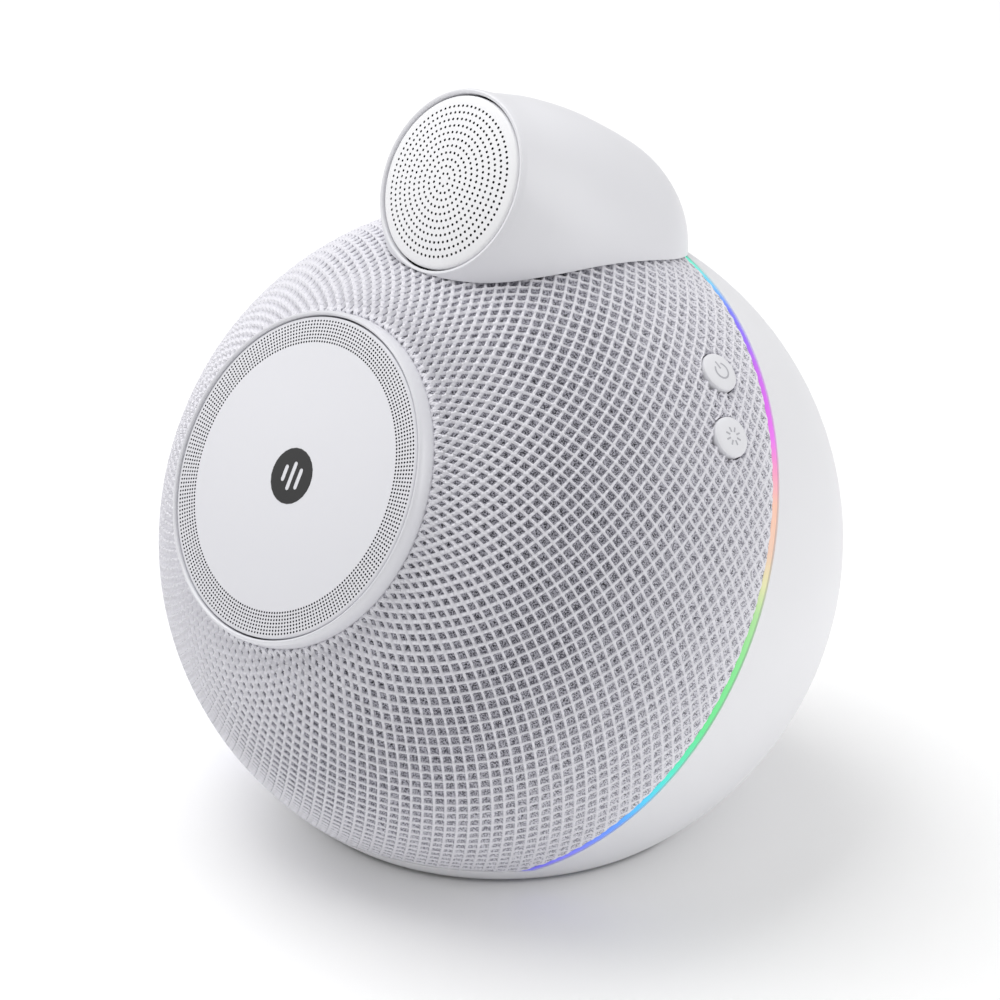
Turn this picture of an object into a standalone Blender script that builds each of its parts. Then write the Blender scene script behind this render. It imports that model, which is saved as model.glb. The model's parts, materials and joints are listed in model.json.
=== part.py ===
"""Ball-shaped smart speaker with a tweeter pod, built as separate solids.

Metres, +Z up, front towards -Y. The origin is the centre of the foot pad's flat
underside. Sizes below are in millimetres and MM turns them into metres.
"""
import math

import bmesh
import bpy
from mathutils import Matrix, Vector

MM = 0.001
GAP = 0.3

# Ball
BALL_R = 90.0
BALL_HEIGHT = 73.5
AXIS_RISE = 29.0
BALL_STEPS = 32
SKIN_ROWS = (4, 2)
ROW_ANGLE = 10.0
WINDOW_ROWS = (1, 3)

# The fabric flattens into an arc near the woofer bezel
ARC_START = 50.0
ARC_R = 59.4
FABRIC_EDGE_DEPTH = 0.75
FABRIC_EDGE_R = 43.7
FRAME_EDGE_R = 45.5
FABRIC_WALL = 1.0
FRAME_INSET = 2.0
FRAME_WALL = 1.6

# A shallow saddle in the fabric lets the pod's lower lip show
SADDLE_DEPTH = 2.2
SADDLE_ANGLE = 44.0
SADDLE_R = 30.0

# Rear shell and base
SHELL_WALL = 2.5
SHELL_EDGE_DEPTH = -1.9
SKIRT_TOP = -66.0
INNER_TRIM = -64.2
RING_TRIM = -63.4
SHELL_BOTTOM = -72.7
PLATE_R = 48.8
PLATE_THICK = 2.5
PAD_R = 46.0
PAD_THICK = 2.1
TAB_R = 43.0
CELL_R = 9.0

# Woofer cover and bezel, as radius and depth along the acoustic axis
COVER_R = 41.05
COVER_EDGE = 79.3
COVER_GAP = 0.4
COVER_CROWN = 0.9
COVER_WALL = 1.2
BADGE_R = 7.2
BEZEL_R = 43.0
BEZEL_TOP = 79.7
BEZEL_SEAT = 70.5
BEZEL_LOW = 68.5

# Woofer drive unit
WOOFER_SCREW_R = 38.4
BASKET_STEPS = 20
LED_STEPS = 32
SCREW_STEPS = 6

# Buttons, as latitude and longitude about the acoustic axis
BUTTON_R = 5.3
BUTTON_LATITUDE = 10.0
POWER_LONGITUDE = 45.3
LIGHT_LONGITUDE = 56.8
BUTTON_TOP = 91.0

# Tweeter pod: centre of its front circle, measured from the ball's centre
POD_Y = -17.26
POD_Z = 103.8
POD_RISE = 28.0
POD_STEPS = 24
POD_WALL = 2.0
GRILLE_R = 22.4
RIM_BORE = 22.9
NECK_X = 25.0
NECK_Y = 27.3

# Charging port, as elevation below the ball's middle, at the back
PORT_DROP = 18.0
PORT_WIDTH = 9.0
PORT_HEIGHT = 3.3
PORT_LENGTH = 8.0


# ---------------------------------------------------------------- materials
FINISHES = {
    "satin_white": ((0.80, 0.80, 0.81), 0.42, 0.0),
    "matt_white": ((0.78, 0.78, 0.79), 0.50, 0.0),
    "knit": ((0.72, 0.72, 0.75), 0.85, 0.0),
    "diffuser": ((0.55, 0.62, 0.95), 0.30, 0.0),
    "button_grey": ((0.68, 0.68, 0.70), 0.45, 0.0),
    "black_plastic": ((0.03, 0.03, 0.03), 0.45, 0.0),
    "dark_frame": ((0.12, 0.12, 0.13), 0.60, 0.0),
    "rubber": ((0.20, 0.20, 0.21), 0.80, 0.0),
    "paper": ((0.07, 0.07, 0.07), 0.80, 0.0),
    "silk": ((0.10, 0.09, 0.08), 0.60, 0.0),
    "steel": ((0.60, 0.60, 0.62), 0.30, 1.0),
    "zinc_steel": ((0.50, 0.50, 0.52), 0.35, 1.0),
    "ferrite": ((0.08, 0.08, 0.09), 0.70, 0.0),
    "copper": ((0.72, 0.35, 0.18), 0.30, 1.0),
    "circuit_board": ((0.02, 0.16, 0.08), 0.50, 0.0),
    "aluminium": ((0.75, 0.76, 0.78), 0.35, 1.0),
    "battery_wrap": ((0.08, 0.22, 0.55), 0.40, 0.0),
    "cable_sheath": ((0.05, 0.05, 0.05), 0.55, 0.0),
}


def finish(name):
    """Return the named Principled material, made on first use."""
    material = bpy.data.materials.get(name)
    if material:
        return material
    colour, roughness, metallic = FINISHES[name]
    material = bpy.data.materials.new(name)
    material.use_nodes = True
    shader = material.node_tree.nodes["Principled BSDF"]
    shader.inputs["Base Color"].default_value = (*colour, 1.0)
    shader.inputs["Roughness"].default_value = roughness
    shader.inputs["Metallic"].default_value = metallic
    return material


# ------------------------------------------------------------ basic helpers
def clear_scene():
    for obj in list(bpy.data.objects):
        bpy.data.objects.remove(obj, do_unlink=True)


def frame(name, location, turn):
    """Add an empty at a place in millimetres; sub-parts hang from it."""
    empty = bpy.data.objects.new(name, None)
    bpy.context.scene.collection.objects.link(empty)
    empty.matrix_world = Matrix.Translation(Vector(location) * MM) @ turn
    bpy.context.view_layer.update()
    return empty


def direction_turn(direction):
    """Rotation that takes local +Z to a direction."""
    return Vector(direction).to_track_quat("Z", "Y").to_matrix().to_4x4()


def finished(name, bm, material, parent=None):
    """Turn a bmesh into a named object with its faces outward."""
    bmesh.ops.remove_doubles(bm, verts=bm.verts, dist=1e-6)
    bmesh.ops.recalc_face_normals(bm, faces=bm.faces)
    mesh = bpy.data.meshes.new(name)
    bm.to_mesh(mesh)
    bm.free()
    mesh.shade_smooth()
    mesh.set_sharp_from_angle(angle=math.radians(32))
    obj = bpy.data.objects.new(name, mesh)
    obj.data.materials.append(finish(material))
    bpy.context.scene.collection.objects.link(obj)
    obj.parent = parent
    return obj


def wire(bm, points, closed):
    """Add points in millimetres, joined by edges, and return the geometry."""
    verts = [bm.verts.new(Vector(point) * MM) for point in points]
    edges = [bm.edges.new(pair) for pair in zip(verts, verts[1:])]
    if closed:
        edges.append(bm.edges.new((verts[-1], verts[0])))
    return verts, edges


def spin_outline(bm, outline, steps, closed):
    """Spin (radius, height) points about local Z."""
    verts, edges = wire(bm, [(r, 0.0, z) for r, z in outline], closed)
    bmesh.ops.spin(bm, geom=verts + edges, cent=(0, 0, 0), axis=(0, 0, 1),
                   angle=math.tau, steps=steps, use_merge=True)
    bmesh.ops.remove_doubles(bm, verts=bm.verts, dist=1e-6)


def turned(name, outline, material, parent=None, steps=32):
    """Solid of revolution; the outline closes itself or ends on the axis."""
    bm = bmesh.new()
    on_axis = outline[0][0] == 0.0 and outline[-1][0] == 0.0
    spin_outline(bm, outline, steps, closed=not on_axis)
    return finished(name, bm, material, parent)


def ring(name, inner, outer, low, high, material, parent=None, steps=32):
    """Plain tube between two radii and two heights."""
    outline = [(outer, high), (outer, low), (inner, low), (inner, high)]
    return turned(name, outline, material, parent, steps)


def disc(name, radius, low, high, material, parent=None, steps=32):
    """Plain round plate."""
    outline = [(0.0, high), (radius, high), (radius, low), (0.0, low)]
    return turned(name, outline, material, parent, steps)


def block(name, size, centre, material, parent=None, round_r=0.0, round_steps=3):
    """Box with its vertical edges rounded when round_r is given."""
    bm = bmesh.new()
    place = Matrix.Translation(Vector(centre) * MM) @ Matrix.Diagonal((*(Vector(size) * MM), 1.0))
    bmesh.ops.create_cube(bm, size=1.0, matrix=place)
    if round_r:
        upright = [e for e in bm.edges if abs((e.verts[0].co - e.verts[1].co).normalized().z) > 0.9]
        bmesh.ops.bevel(bm, geom=upright, offset=round_r * MM, affect="EDGES", segments=round_steps,
                        profile=0.5, material=-1)
    return finished(name, bm, material, parent)


def cutter(obj):
    """Mark an object as a tool that is not part of the speaker."""
    obj.hide_render = True
    obj.display_type = "WIRE"
    return obj


def boolean(target, tool, operation="DIFFERENCE"):
    modifier = target.modifiers.new(tool.name, "BOOLEAN")
    modifier.operation = operation
    modifier.object = tool
    modifier.solver = "EXACT"


def thicken(obj, wall):
    modifier = obj.modifiers.new("wall", "SOLIDIFY")
    modifier.thickness = wall * MM
    modifier.offset = -1.0
    modifier.use_even_offset = True


# --------------------------------------------------------------- ball skins
def ball_point(latitude, radius=BALL_R):
    """(radius, depth) of a point on the ball at an angle above the ring plane."""
    angle = math.radians(latitude)
    return radius * math.cos(angle), radius * math.sin(angle)


def arc_centre():
    start = math.radians(ARC_START)
    return (BALL_R - ARC_R) * math.sin(start), (BALL_R - ARC_R) * math.cos(start)


def fabric_outline(inset, sphere_rows, arc_rows, edge_r=FABRIC_EDGE_R):
    """Outline of the front skin from the light ring to the bezel, set in by inset."""
    first = math.degrees(math.asin(FABRIC_EDGE_DEPTH / BALL_R))
    last = 90.0 - ARC_START
    rows = [first + (last - first) * i / sphere_rows for i in range(sphere_rows + 1)]
    points = [ball_point(latitude, BALL_R - inset) for latitude in rows]
    centre_r, centre_z = arc_centre()
    end = math.asin((edge_r - centre_r) / ARC_R)
    start = math.radians(ARC_START)
    for i in range(1, arc_rows + 1):
        angle = start + (end - start) * i / arc_rows
        points.append((centre_r + (ARC_R - inset) * math.sin(angle),
                       centre_z + (ARC_R - inset) * math.cos(angle)))
    return points


def smooth_step(value, low, high):
    share = min(max((value - low) / (high - low), 0.0), 1.0)
    return share * share * (3.0 - 2.0 * share)


def saddle(point):
    """Depth of the dip under the pod at a point given in the acoustic frame."""
    angle = math.radians(SADDLE_ANGLE)
    bottom = Vector((0.0, math.sin(angle), math.cos(angle))) * BALL_R
    near = math.exp(-((point - bottom).length / SADDLE_R) ** 5)
    off_axis = math.degrees(Vector((0, 0, 1)).angle(point))
    return SADDLE_DEPTH * near * smooth_step(off_axis, 31.0, 41.0)


def press_saddle(bm):
    for vert in bm.verts:
        point = vert.co / MM
        vert.co -= point.normalized() * saddle(point) * MM


def trim(bm, parent, height):
    """Cut a skin level, at a height above the ball's centre, and keep what is above."""
    inverse = parent.matrix_world.inverted()
    point = inverse @ Vector((0, 0, (BALL_HEIGHT + height) * MM))
    normal = (inverse.to_3x3() @ Vector((0, 0, 1))).normalized()
    bmesh.ops.bisect_plane(bm, geom=bm.verts[:] + bm.edges[:] + bm.faces[:], dist=1e-7,
                           plane_co=point, plane_no=normal, clear_inner=True)


def face_outwards(bm):
    """Point an open skin's faces away from the ball's centre."""
    bmesh.ops.recalc_face_normals(bm, faces=bm.faces)
    facing = sum(face.normal.dot(face.calc_center_median()) for face in bm.faces)
    if facing < 0.0:
        bmesh.ops.reverse_faces(bm, faces=bm.faces)


def skin(name, bm, wall, material, parent):
    """Open skin given a wall towards the inside."""
    bmesh.ops.remove_doubles(bm, verts=bm.verts, dist=1e-6)
    face_outwards(bm)
    mesh = bpy.data.meshes.new(name)
    bm.to_mesh(mesh)
    bm.free()
    mesh.shade_smooth()
    obj = bpy.data.objects.new(name, mesh)
    obj.data.materials.append(finish(material))
    bpy.context.scene.collection.objects.link(obj)
    obj.parent = parent
    thicken(obj, wall)
    return obj


def make_fabric_cover(acoustic):
    bm = bmesh.new()
    spin_outline(bm, fabric_outline(0.0, *SKIN_ROWS), BALL_STEPS, closed=False)
    press_saddle(bm)
    trim(bm, acoustic, SKIRT_TOP + GAP)
    return skin("fabric_cover", bm, FABRIC_WALL, "knit", acoustic)


def make_grille_frame(acoustic):
    """Rigid basket under the fabric, with rows of sound windows between its ribs."""
    bm = bmesh.new()
    spin_outline(bm, fabric_outline(FRAME_INSET, *SKIN_ROWS, FRAME_EDGE_R), BALL_STEPS, closed=False)
    windows = []
    for face in bm.faces:
        centre = face.calc_center_median() / MM
        row = int((90.0 - math.degrees(Vector((0, 0, 1)).angle(centre))) / ROW_ANGLE)
        column = int((math.atan2(centre.y, centre.x) + math.pi) / math.tau * BALL_STEPS)
        away_from_pod = centre.y < 45.0
        away_from_buttons = not (centre.x > 40.0 and centre.y > -5.0)
        if row in WINDOW_ROWS and column % 4 != 0 and away_from_pod and away_from_buttons:
            windows.append(face)
    bmesh.ops.delete(bm, geom=windows, context="FACES")
    press_saddle(bm)
    trim(bm, acoustic, INNER_TRIM)
    return skin("grille_frame", bm, FRAME_WALL, "dark_frame", acoustic)


def make_front_baffle(acoustic):
    """Inner bowl that seals the woofer's back volume and takes its screws."""
    latitudes = [-3.0, 10.0, 24.0, 38.0, 50.0]
    outline = [ball_point(latitude, 77.5) for latitude in latitudes]
    outline += [(45.0, 64.6), (32.9, 64.6)]
    bm = bmesh.new()
    spin_outline(bm, outline, 24, closed=False)
    trim(bm, acoustic, SKIRT_TOP + 1.5)
    return skin("front_baffle", bm, 2.0, "dark_frame", acoustic)


def make_rear_shell(acoustic, port):
    """Back cup and base skirt in one moulding, with board posts and screw tabs."""
    rows = 16
    outline = [ball_point(-90.0 + 180.0 * i / rows) for i in range(rows + 1)]
    outline[0] = (0.0, outline[0][1])
    outline[-1] = (0.0, outline[-1][1])
    bm = bmesh.new()
    spin_outline(bm, outline, BALL_STEPS, closed=False)
    inverse = acoustic.matrix_world.inverted()
    up = (inverse.to_3x3() @ Vector((0, 0, 1))).normalized()
    skirt_point = inverse @ Vector((0, 0, (BALL_HEIGHT + SKIRT_TOP) * MM))
    edge_point = Vector((0, 0, SHELL_EDGE_DEPTH * MM))
    for point, normal in ((skirt_point, up), (edge_point, Vector((0, 0, 1)))):
        bmesh.ops.bisect_plane(bm, geom=bm.verts[:] + bm.edges[:] + bm.faces[:], dist=1e-7,
                               plane_co=point, plane_no=normal)
    trim(bm, acoustic, SHELL_BOTTOM)
    front = []
    for face in bm.faces:
        centre = face.calc_center_median()
        above_skirt = (centre - skirt_point).dot(up) > 0.0
        if above_skirt and centre.z > edge_point.z:
            front.append(face)
    bmesh.ops.delete(bm, geom=front, context="FACES")
    shell = skin("rear_shell", bm, SHELL_WALL, "matt_white", acoustic)

    for side in (-1, 1):
        for end in (-1, 1):
            post = cutter(ring(f"post_{side}_{end}", 1.2, 3.0, -71.9, -22.4, "matt_white", acoustic, 8))
            for vert in post.data.vertices:
                vert.co += Vector((44.0 * side, 24.0 * end, 0.0)) * MM
            boolean(shell, post, "UNION")
    for i in range(4):
        angle = math.pi / 4 + i * math.pi / 2
        tab = cutter(block(f"tab_{i}", (17.5, 6.0, 2.0), (48.25, 0, SKIRT_TOP - 1.3), "matt_white"))
        hole = cutter(disc(f"tab_hole_{i}", 1.5, -75.0, -60.0, "matt_white", None, 8))
        hole.data.transform(Matrix.Translation((TAB_R * MM, 0, 0)))
        boolean(tab, hole)
        tab.matrix_world = Matrix.Translation((0, 0, BALL_HEIGHT * MM)) @ Matrix.Rotation(angle, 4, "Z")
        hole.matrix_world = tab.matrix_world
        boolean(shell, tab, "UNION")
    mouth = cutter(block("port_mouth", (PORT_WIDTH + 1.0, PORT_HEIGHT + 1.0, 14.0), (0, 0, BALL_R),
                         "matt_white", port, round_r=2.1))
    boolean(shell, mouth)
    return shell


def make_light_ring(acoustic):
    """Diffuser ring between fabric and rear shell, open where the base crosses it."""
    top = FABRIC_EDGE_DEPTH - GAP
    low = SHELL_EDGE_DEPTH + GAP
    outer = 89.7
    bm = bmesh.new()
    outline = [(outer - 0.5, top), (outer, top - 0.4), (outer, low + 0.4), (outer - 0.5, low),
               (84.2, low), (84.2, top)]
    spin_outline(bm, outline, BALL_STEPS, closed=True)
    cut_ring_foot(bm, acoustic)
    return finished("light_ring", bm, "diffuser", acoustic)


def make_led_strip(acoustic):
    """Flexible strip behind the diffuser, with a raised LED on every other length."""
    bm = bmesh.new()
    outline = [(82.6, 0.2), (82.6, -1.4), (82.1, -1.4), (82.1, 0.2)]
    spin_outline(bm, outline, LED_STEPS, closed=True)
    outer = [f for f in bm.faces if f.calc_center_median().to_2d().length > 82.3 * MM
             and abs(f.normal.z) < 0.5]
    chips = [f for f in outer if int((math.atan2(f.calc_center_median().y, f.calc_center_median().x)
                                      + math.pi) / math.tau * LED_STEPS) % 2]
    bmesh.ops.inset_individual(bm, faces=chips, thickness=0.3 * MM)
    raised = bmesh.ops.extrude_discrete_faces(bm, faces=chips)["faces"]
    for face in raised:
        out = face.calc_center_median()
        out.z = 0.0
        bmesh.ops.translate(bm, verts=face.verts, vec=out.normalized() * 0.8 * MM)
    cut_ring_foot(bm, acoustic)
    return finished("led_strip", bm, "circuit_board", acoustic)


def cut_ring_foot(bm, acoustic):
    """Cut a closed ring level above the skirt and cap its two ends."""
    trim(bm, acoustic, RING_TRIM)
    bmesh.ops.holes_fill(bm, edges=[e for e in bm.edges if e.is_boundary], sides=0)


# ------------------------------------------------------------------- woofer
def make_woofer_front(acoustic):
    bore = COVER_R + COVER_GAP
    turned("woofer_bezel", [
        (36.0, BEZEL_SEAT), (bore, BEZEL_SEAT), (bore, BEZEL_TOP - 0.4), (bore + 0.5, BEZEL_TOP),
        (BEZEL_R - 0.4, BEZEL_TOP - 0.7), (BEZEL_R, BEZEL_TOP - 3.9), (BEZEL_R, BEZEL_LOW),
        (36.0, BEZEL_LOW)],
        "satin_white", acoustic, 32)
    rows = 2
    top = []
    under = []
    for i in range(rows + 1):
        r = (BADGE_R + GAP) + (COVER_R - 0.4 - BADGE_R - GAP) * i / rows
        height = COVER_EDGE + COVER_CROWN * (1.0 - (r / COVER_R) ** 2)
        top.append((r, height))
        under.append((r, height - COVER_WALL))
    recess = top[0][1] - 0.8
    outline = [(0.0, recess), (top[0][0], recess)] + top + [(COVER_R, COVER_EDGE - 0.35)]
    outline += [(COVER_R, 74.6), (COVER_R - 1.2, 74.6), (COVER_R - 1.2, under[-1][1])]
    outline += under[-2::-1] + [(top[0][0] - 0.5, recess - COVER_WALL), (0.0, recess - COVER_WALL)]
    turned("woofer_cover", outline, "satin_white", acoustic, 32)
    badge_low = recess + GAP
    badge = turned("badge", [(0.0, badge_low + 0.62), (BADGE_R - 0.1, badge_low + 0.6),
                             (BADGE_R, badge_low + 0.5), (BADGE_R, badge_low), (0.0, badge_low)],
                   "black_plastic", acoustic, 24)
    # The badge is a plain disc pierced by three level-meter bars
    for x, tall in ((-2.6, 4.4), (0.0, 7.6), (2.6, 5.6)):
        slot = cutter(block(f"badge_slot_{tall}", (1.3, tall, 4.0), (x, 0, badge_low), "black_plastic",
                            acoustic, round_r=0.6))
        boolean(badge, slot)


def arc_points(centre_r, centre_z, radius, start, end, count):
    """Points on an arc of an outline, angles in degrees from the +radius direction."""
    angles = [math.radians(start + (end - start) * i / (count - 1)) for i in range(count)]
    return [(centre_r + radius * math.cos(a), centre_z + radius * math.sin(a)) for a in angles]


def make_woofer(acoustic):
    ring("woofer_gasket", 33.6, 41.5, 66.9, 68.2, "rubber", acoustic, 20)

    bm = bmesh.new()
    outline = [(41.5, 66.6), (31.6, 66.6), (30.5, 61.0), (28.0, 51.0), (23.0, 51.0),
               (22.4, 46.6), (12.6, 46.6)]
    spin_outline(bm, outline, BASKET_STEPS, closed=False)
    open_faces = []
    for face in bm.faces:
        centre = face.calc_center_median() / MM
        column = int((math.atan2(centre.y, centre.x) + math.pi) / math.tau * BASKET_STEPS)
        if 52.0 < centre.z < 61.0 and column % 5 != 0:
            open_faces.append(face)
    bmesh.ops.delete(bm, geom=open_faces, context="FACES")
    skin("woofer_basket", bm, 1.4, "dark_frame", acoustic)

    roll = 2.8
    middle = 29.0
    base = 66.9
    over = arc_points(middle, base + 0.2, roll, 0, 180, 5)
    below = arc_points(middle, base + 0.2, roll - 0.6, 180, 0, 5)
    turned("woofer_surround", [(33.2, base), (33.2, base + 0.6), (31.8, base + 0.6)] + over
                      + [(26.2, base + 0.6), (24.8, base + 0.6), (24.8, base)] + below,
                      "rubber", acoustic, 20)

    turned("woofer_cone", [(24.6, 66.5), (26.1, 66.5), (26.1, 65.9), (24.9, 65.9),
                           (18.2, 60.0), (10.7, 53.6), (10.2, 53.6), (10.2, 54.3), (17.7, 60.5)],
           "paper", acoustic, 20)
    turned("dust_cap", [
        (0.0, 60.8), (4.5, 60.3), (8.9, 58.9), (13.0, 57.1), (12.6, 56.6), (8.7, 58.3), (4.4, 59.7),
        (0.0, 60.2)], "paper", acoustic, 16)

    ring("coil_former", 9.5, 9.8, 41.0, 55.2, "aluminium", acoustic, 16)
    ring("woofer_voice_coil", 10.1, 10.6, 41.0, 47.4, "copper", acoustic, 16)

    # Corrugated disc that centres the voice coil
    inner_r, outer_r = 10.7, 26.5
    folds = 6
    top = []
    low = []
    for i in range(folds + 1):
        r = inner_r + (outer_r - inner_r) * i / folds
        rise = 0.0 if i in (0, folds) else (0.5 if i % 2 else -0.3)
        top.append((r, 52.2 + rise))
        low.append((r, 51.8 + rise))
    turned("woofer_spider", top + low[::-1], "silk", acoustic, 16)

    ring("woofer_top_plate", 11.0, 22.0, 41.9, 44.9, "zinc_steel", acoustic, 16)
    ring("woofer_magnet", 13.0, 24.0, 29.6, 41.6, "ferrite", acoustic, 16)
    turned("woofer_yoke", [(3.0, 44.9), (9.15, 44.9), (9.15, 29.3), (22.5, 29.3), (22.5, 25.3),
                           (3.0, 25.3)], "zinc_steel", acoustic, 16)

    hole_owners = [bpy.data.objects[name] for name in
                   ("woofer_bezel", "woofer_gasket", "woofer_basket", "front_baffle")]
    for i in range(4):
        angle = math.pi / 4 + i * math.pi / 2
        place = Vector((WOOFER_SCREW_R * math.cos(angle), WOOFER_SCREW_R * math.sin(angle), 0))
        make_screw(f"woofer_screw_{i + 1}", place, 70.8, 1.3, 2.1, 1.1, 11.0, acoustic)
        hole = cutter(disc(f"woofer_hole_{i}", 1.45, 55.0, 75.0, "steel", acoustic, 8))
        hole.data.transform(Matrix.Translation(place * MM))
        for owner in hole_owners:
            boolean(owner, hole)


def make_screw(name, place, seat, head_height, head_r, shank_r, length, parent):
    """Pan head screw along local Z: its head sits above seat, its shank runs down."""
    obj = turned(name, [(0.0, seat + head_height), (head_r * 0.7, seat + head_height),
                        (head_r, seat + head_height * 0.55), (head_r, seat), (shank_r, seat),
                        (shank_r, seat - length + 1.0), (0.0, seat - length)],
                 "steel", parent, SCREW_STEPS)
    obj.data.transform(Matrix.Translation(Vector((place[0], place[1], 0)) * MM))
    return obj


# ------------------------------------------------------------------ buttons
def sphere_direction(latitude, longitude):
    """Unit direction in the acoustic frame; longitude runs from the top to +X."""
    lat = math.radians(latitude)
    lon = math.radians(longitude)
    return Vector((math.cos(lat) * math.sin(lon), math.cos(lat) * math.cos(lon), math.sin(lat)))


def button_frame(name, acoustic, longitude):
    """Frame at the ball's centre whose +Z runs out through a button."""
    world = acoustic.matrix_world.to_3x3() @ sphere_direction(BUTTON_LATITUDE, longitude)
    return frame(name, (0, 0, BALL_HEIGHT), direction_turn(world))


def make_buttons(acoustic, fabric, grille_frame):
    for name, longitude in (("power", POWER_LONGITUDE), ("light", LIGHT_LONGITUDE)):
        axis = button_frame(f"{name}_button_axis", acoustic, longitude)
        turned(f"{name}_button", [
            (0.0, BUTTON_TOP), (BUTTON_R * 0.55, BUTTON_TOP - 0.12), (BUTTON_R * 0.88, BUTTON_TOP - 0.38),
            (BUTTON_R, BUTTON_TOP - 0.9), (BUTTON_R, 85.1), (BUTTON_R + 0.9, 85.1),
            (BUTTON_R + 0.9, 84.4), (1.3, 84.4), (1.3, 83.8), (0.0, 83.8)], "button_grey", axis, 20)
        block(f"{name}_switch", (6.0, 6.0, 2.4), (0, 0, 81.9), "black_plastic", axis)
        well = cutter(disc(f"{name}_well", BUTTON_R + 0.35, 80.0, 95.0, "knit", axis, 20))
        boolean(fabric, well)
        boolean(grille_frame, well)
    middle = button_frame("button_board_axis", acoustic, (POWER_LONGITUDE + LIGHT_LONGITUDE) / 2)
    along = middle.matrix_world.to_3x3().inverted() @ (
        bpy.data.objects["light_button_axis"].matrix_world.to_3x3() @ Vector((0, 0, 1)))
    board = block("button_board", (32.0, 11.0, 1.2), (0, 0, 79.0), "circuit_board", middle, round_r=1.5)
    board.data.transform(Matrix.Rotation(math.atan2(along.y, along.x), 4, "Z"))


# ---------------------------------------------------------------------- pod
POD_SECTIONS = (
    # distance behind the front circle, half width, drop of the section's centre
    (1.0, 24.5, 0.2), (4.0, 26.0, 1.4), (8.0, 27.6, 2.5), (13.0, 29.3, 3.2), (20.0, 31.0, 3.8),
    (32.0, 31.8, 4.0), (46.0, 31.8, 4.9), (56.0, 30.4, 5.0), (64.0, 27.0, 4.7), (70.0, 22.5, 4.3),
    (75.5, 15.8, 3.9), (79.5, 8.8, 3.5),
)


def pod_ring(back, radius, drop):
    angles = [math.tau * i / POD_STEPS for i in range(POD_STEPS)]
    return [(radius * math.cos(a), radius * math.sin(a) - drop, -back) for a in angles]


def make_pod_housing(pod, hull):
    """Hollow bullet-shaped housing, open in front and where it sits on the ball."""
    outer = [pod_ring(*section) for section in reversed(POD_SECTIONS)]
    lip = [pod_ring(0.0, 23.9, 0.0), pod_ring(0.0, RIM_BORE, 0.0), pod_ring(9.6, RIM_BORE, 0.0)]
    inner = [pod_ring(back, radius - POD_WALL, drop) for back, radius, drop in POD_SECTIONS[3:-1:2]]
    bm = bmesh.new()
    loops = [wire(bm, points, closed=True) for points in outer + lip + inner]
    for (_, edges), (_, next_edges) in zip(loops, loops[1:]):
        bmesh.ops.bridge_loops(bm, edges=edges + next_edges)
    for verts, tip in ((loops[0][0], (0, -3.4, -81.2)), (loops[-1][0], (0, -3.8, -77.6))):
        peak = bm.verts.new(Vector(tip) * MM)
        for a, b in zip(verts, verts[1:] + verts[:1]):
            bm.faces.new((a, b, peak))
    housing = finished("pod_housing", bm, "satin_white", pod)
    boolean(housing, hull)
    return housing


def make_hull_cutter(acoustic):
    """Solid of the ball's outer surface plus the gap, to seat the pod on."""
    bm = bmesh.new()
    front = fabric_outline(-GAP, 10, 6)
    back = [ball_point(latitude, BALL_R + GAP) for latitude in (-60, -45, -30, -20, -10)]
    outline = [(0.0, -BALL_R)] + back + front + [(0.0, front[-1][1])]
    spin_outline(bm, outline, BALL_STEPS * 2, closed=False)
    press_saddle(bm)
    return cutter(finished("hull_cutter", bm, "knit", acoustic))


def make_tweeter(pod):
    turned("tweeter_grille", [
        (0.0, 2.0), (11.0, 1.5), (19.0, 0.6), (21.6, 0.0), (GRILLE_R, -0.9), (GRILLE_R, -3.0),
        (GRILLE_R - 0.9, -3.0), (GRILLE_R - 0.9, -1.2), (19.0, -0.3), (11.0, 0.6), (0.0, 1.1)],
        "satin_white", pod, 24)
    plate = ring("tweeter_faceplate", 15.2, 22.4, -6.0, -3.3, "dark_frame", pod, 20)
    mount = ring("tweeter_mount", 17.6, 22.4, -9.3, -6.3, "dark_frame", pod, 20)
    turned("tweeter_dome", [
        (0.0, -1.0), (4.0, -1.45), (8.0, -2.9), (11.2, -5.2), (12.4, -5.2), (12.4, -5.5), (11.1, -5.5),
        (7.8, -3.3), (3.9, -1.8), (0.0, -1.3)], "silk", pod, 16)
    base = -5.5
    turned("tweeter_surround", [(14.9, base), (14.9, base + 0.3)] + arc_points(13.8, base + 0.2, 1.0, 0, 180, 4)
           + [(12.7, base + 0.2), (12.7, base)] + arc_points(13.8, base + 0.1, 0.7, 180, 0, 4),
           "silk", pod, 16)
    ring("tweeter_voice_coil", 11.9, 12.3, -9.0, -5.8, "copper", pod, 16)
    ring("tweeter_top_plate", 12.9, 17.0, -8.6, -6.3, "zinc_steel", pod, 16)
    ring("tweeter_magnet", 13.6, 17.0, -12.4, -8.9, "ferrite", pod, 16)
    turned("tweeter_yoke", [(0.0, -6.4), (11.4, -6.4), (11.4, -12.7), (17.0, -12.7), (17.0, -14.7),
                            (0.0, -14.7)], "zinc_steel", pod, 16)
    for i in range(3):
        angle = math.radians(84 + 120 * i)
        place = Vector((19.4 * math.cos(angle), 19.4 * math.sin(angle), 0))
        make_screw(f"tweeter_screw_{i + 1}", place, -3.0, 1.0, 1.7, 0.9, 5.6, pod)
        hole = cutter(disc(f"tweeter_hole_{i}", 1.25, -12.0, 0.0, "steel", pod, 8))
        hole.data.transform(Matrix.Translation(place * MM))
        boolean(plate, hole)
        boolean(mount, hole)


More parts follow.
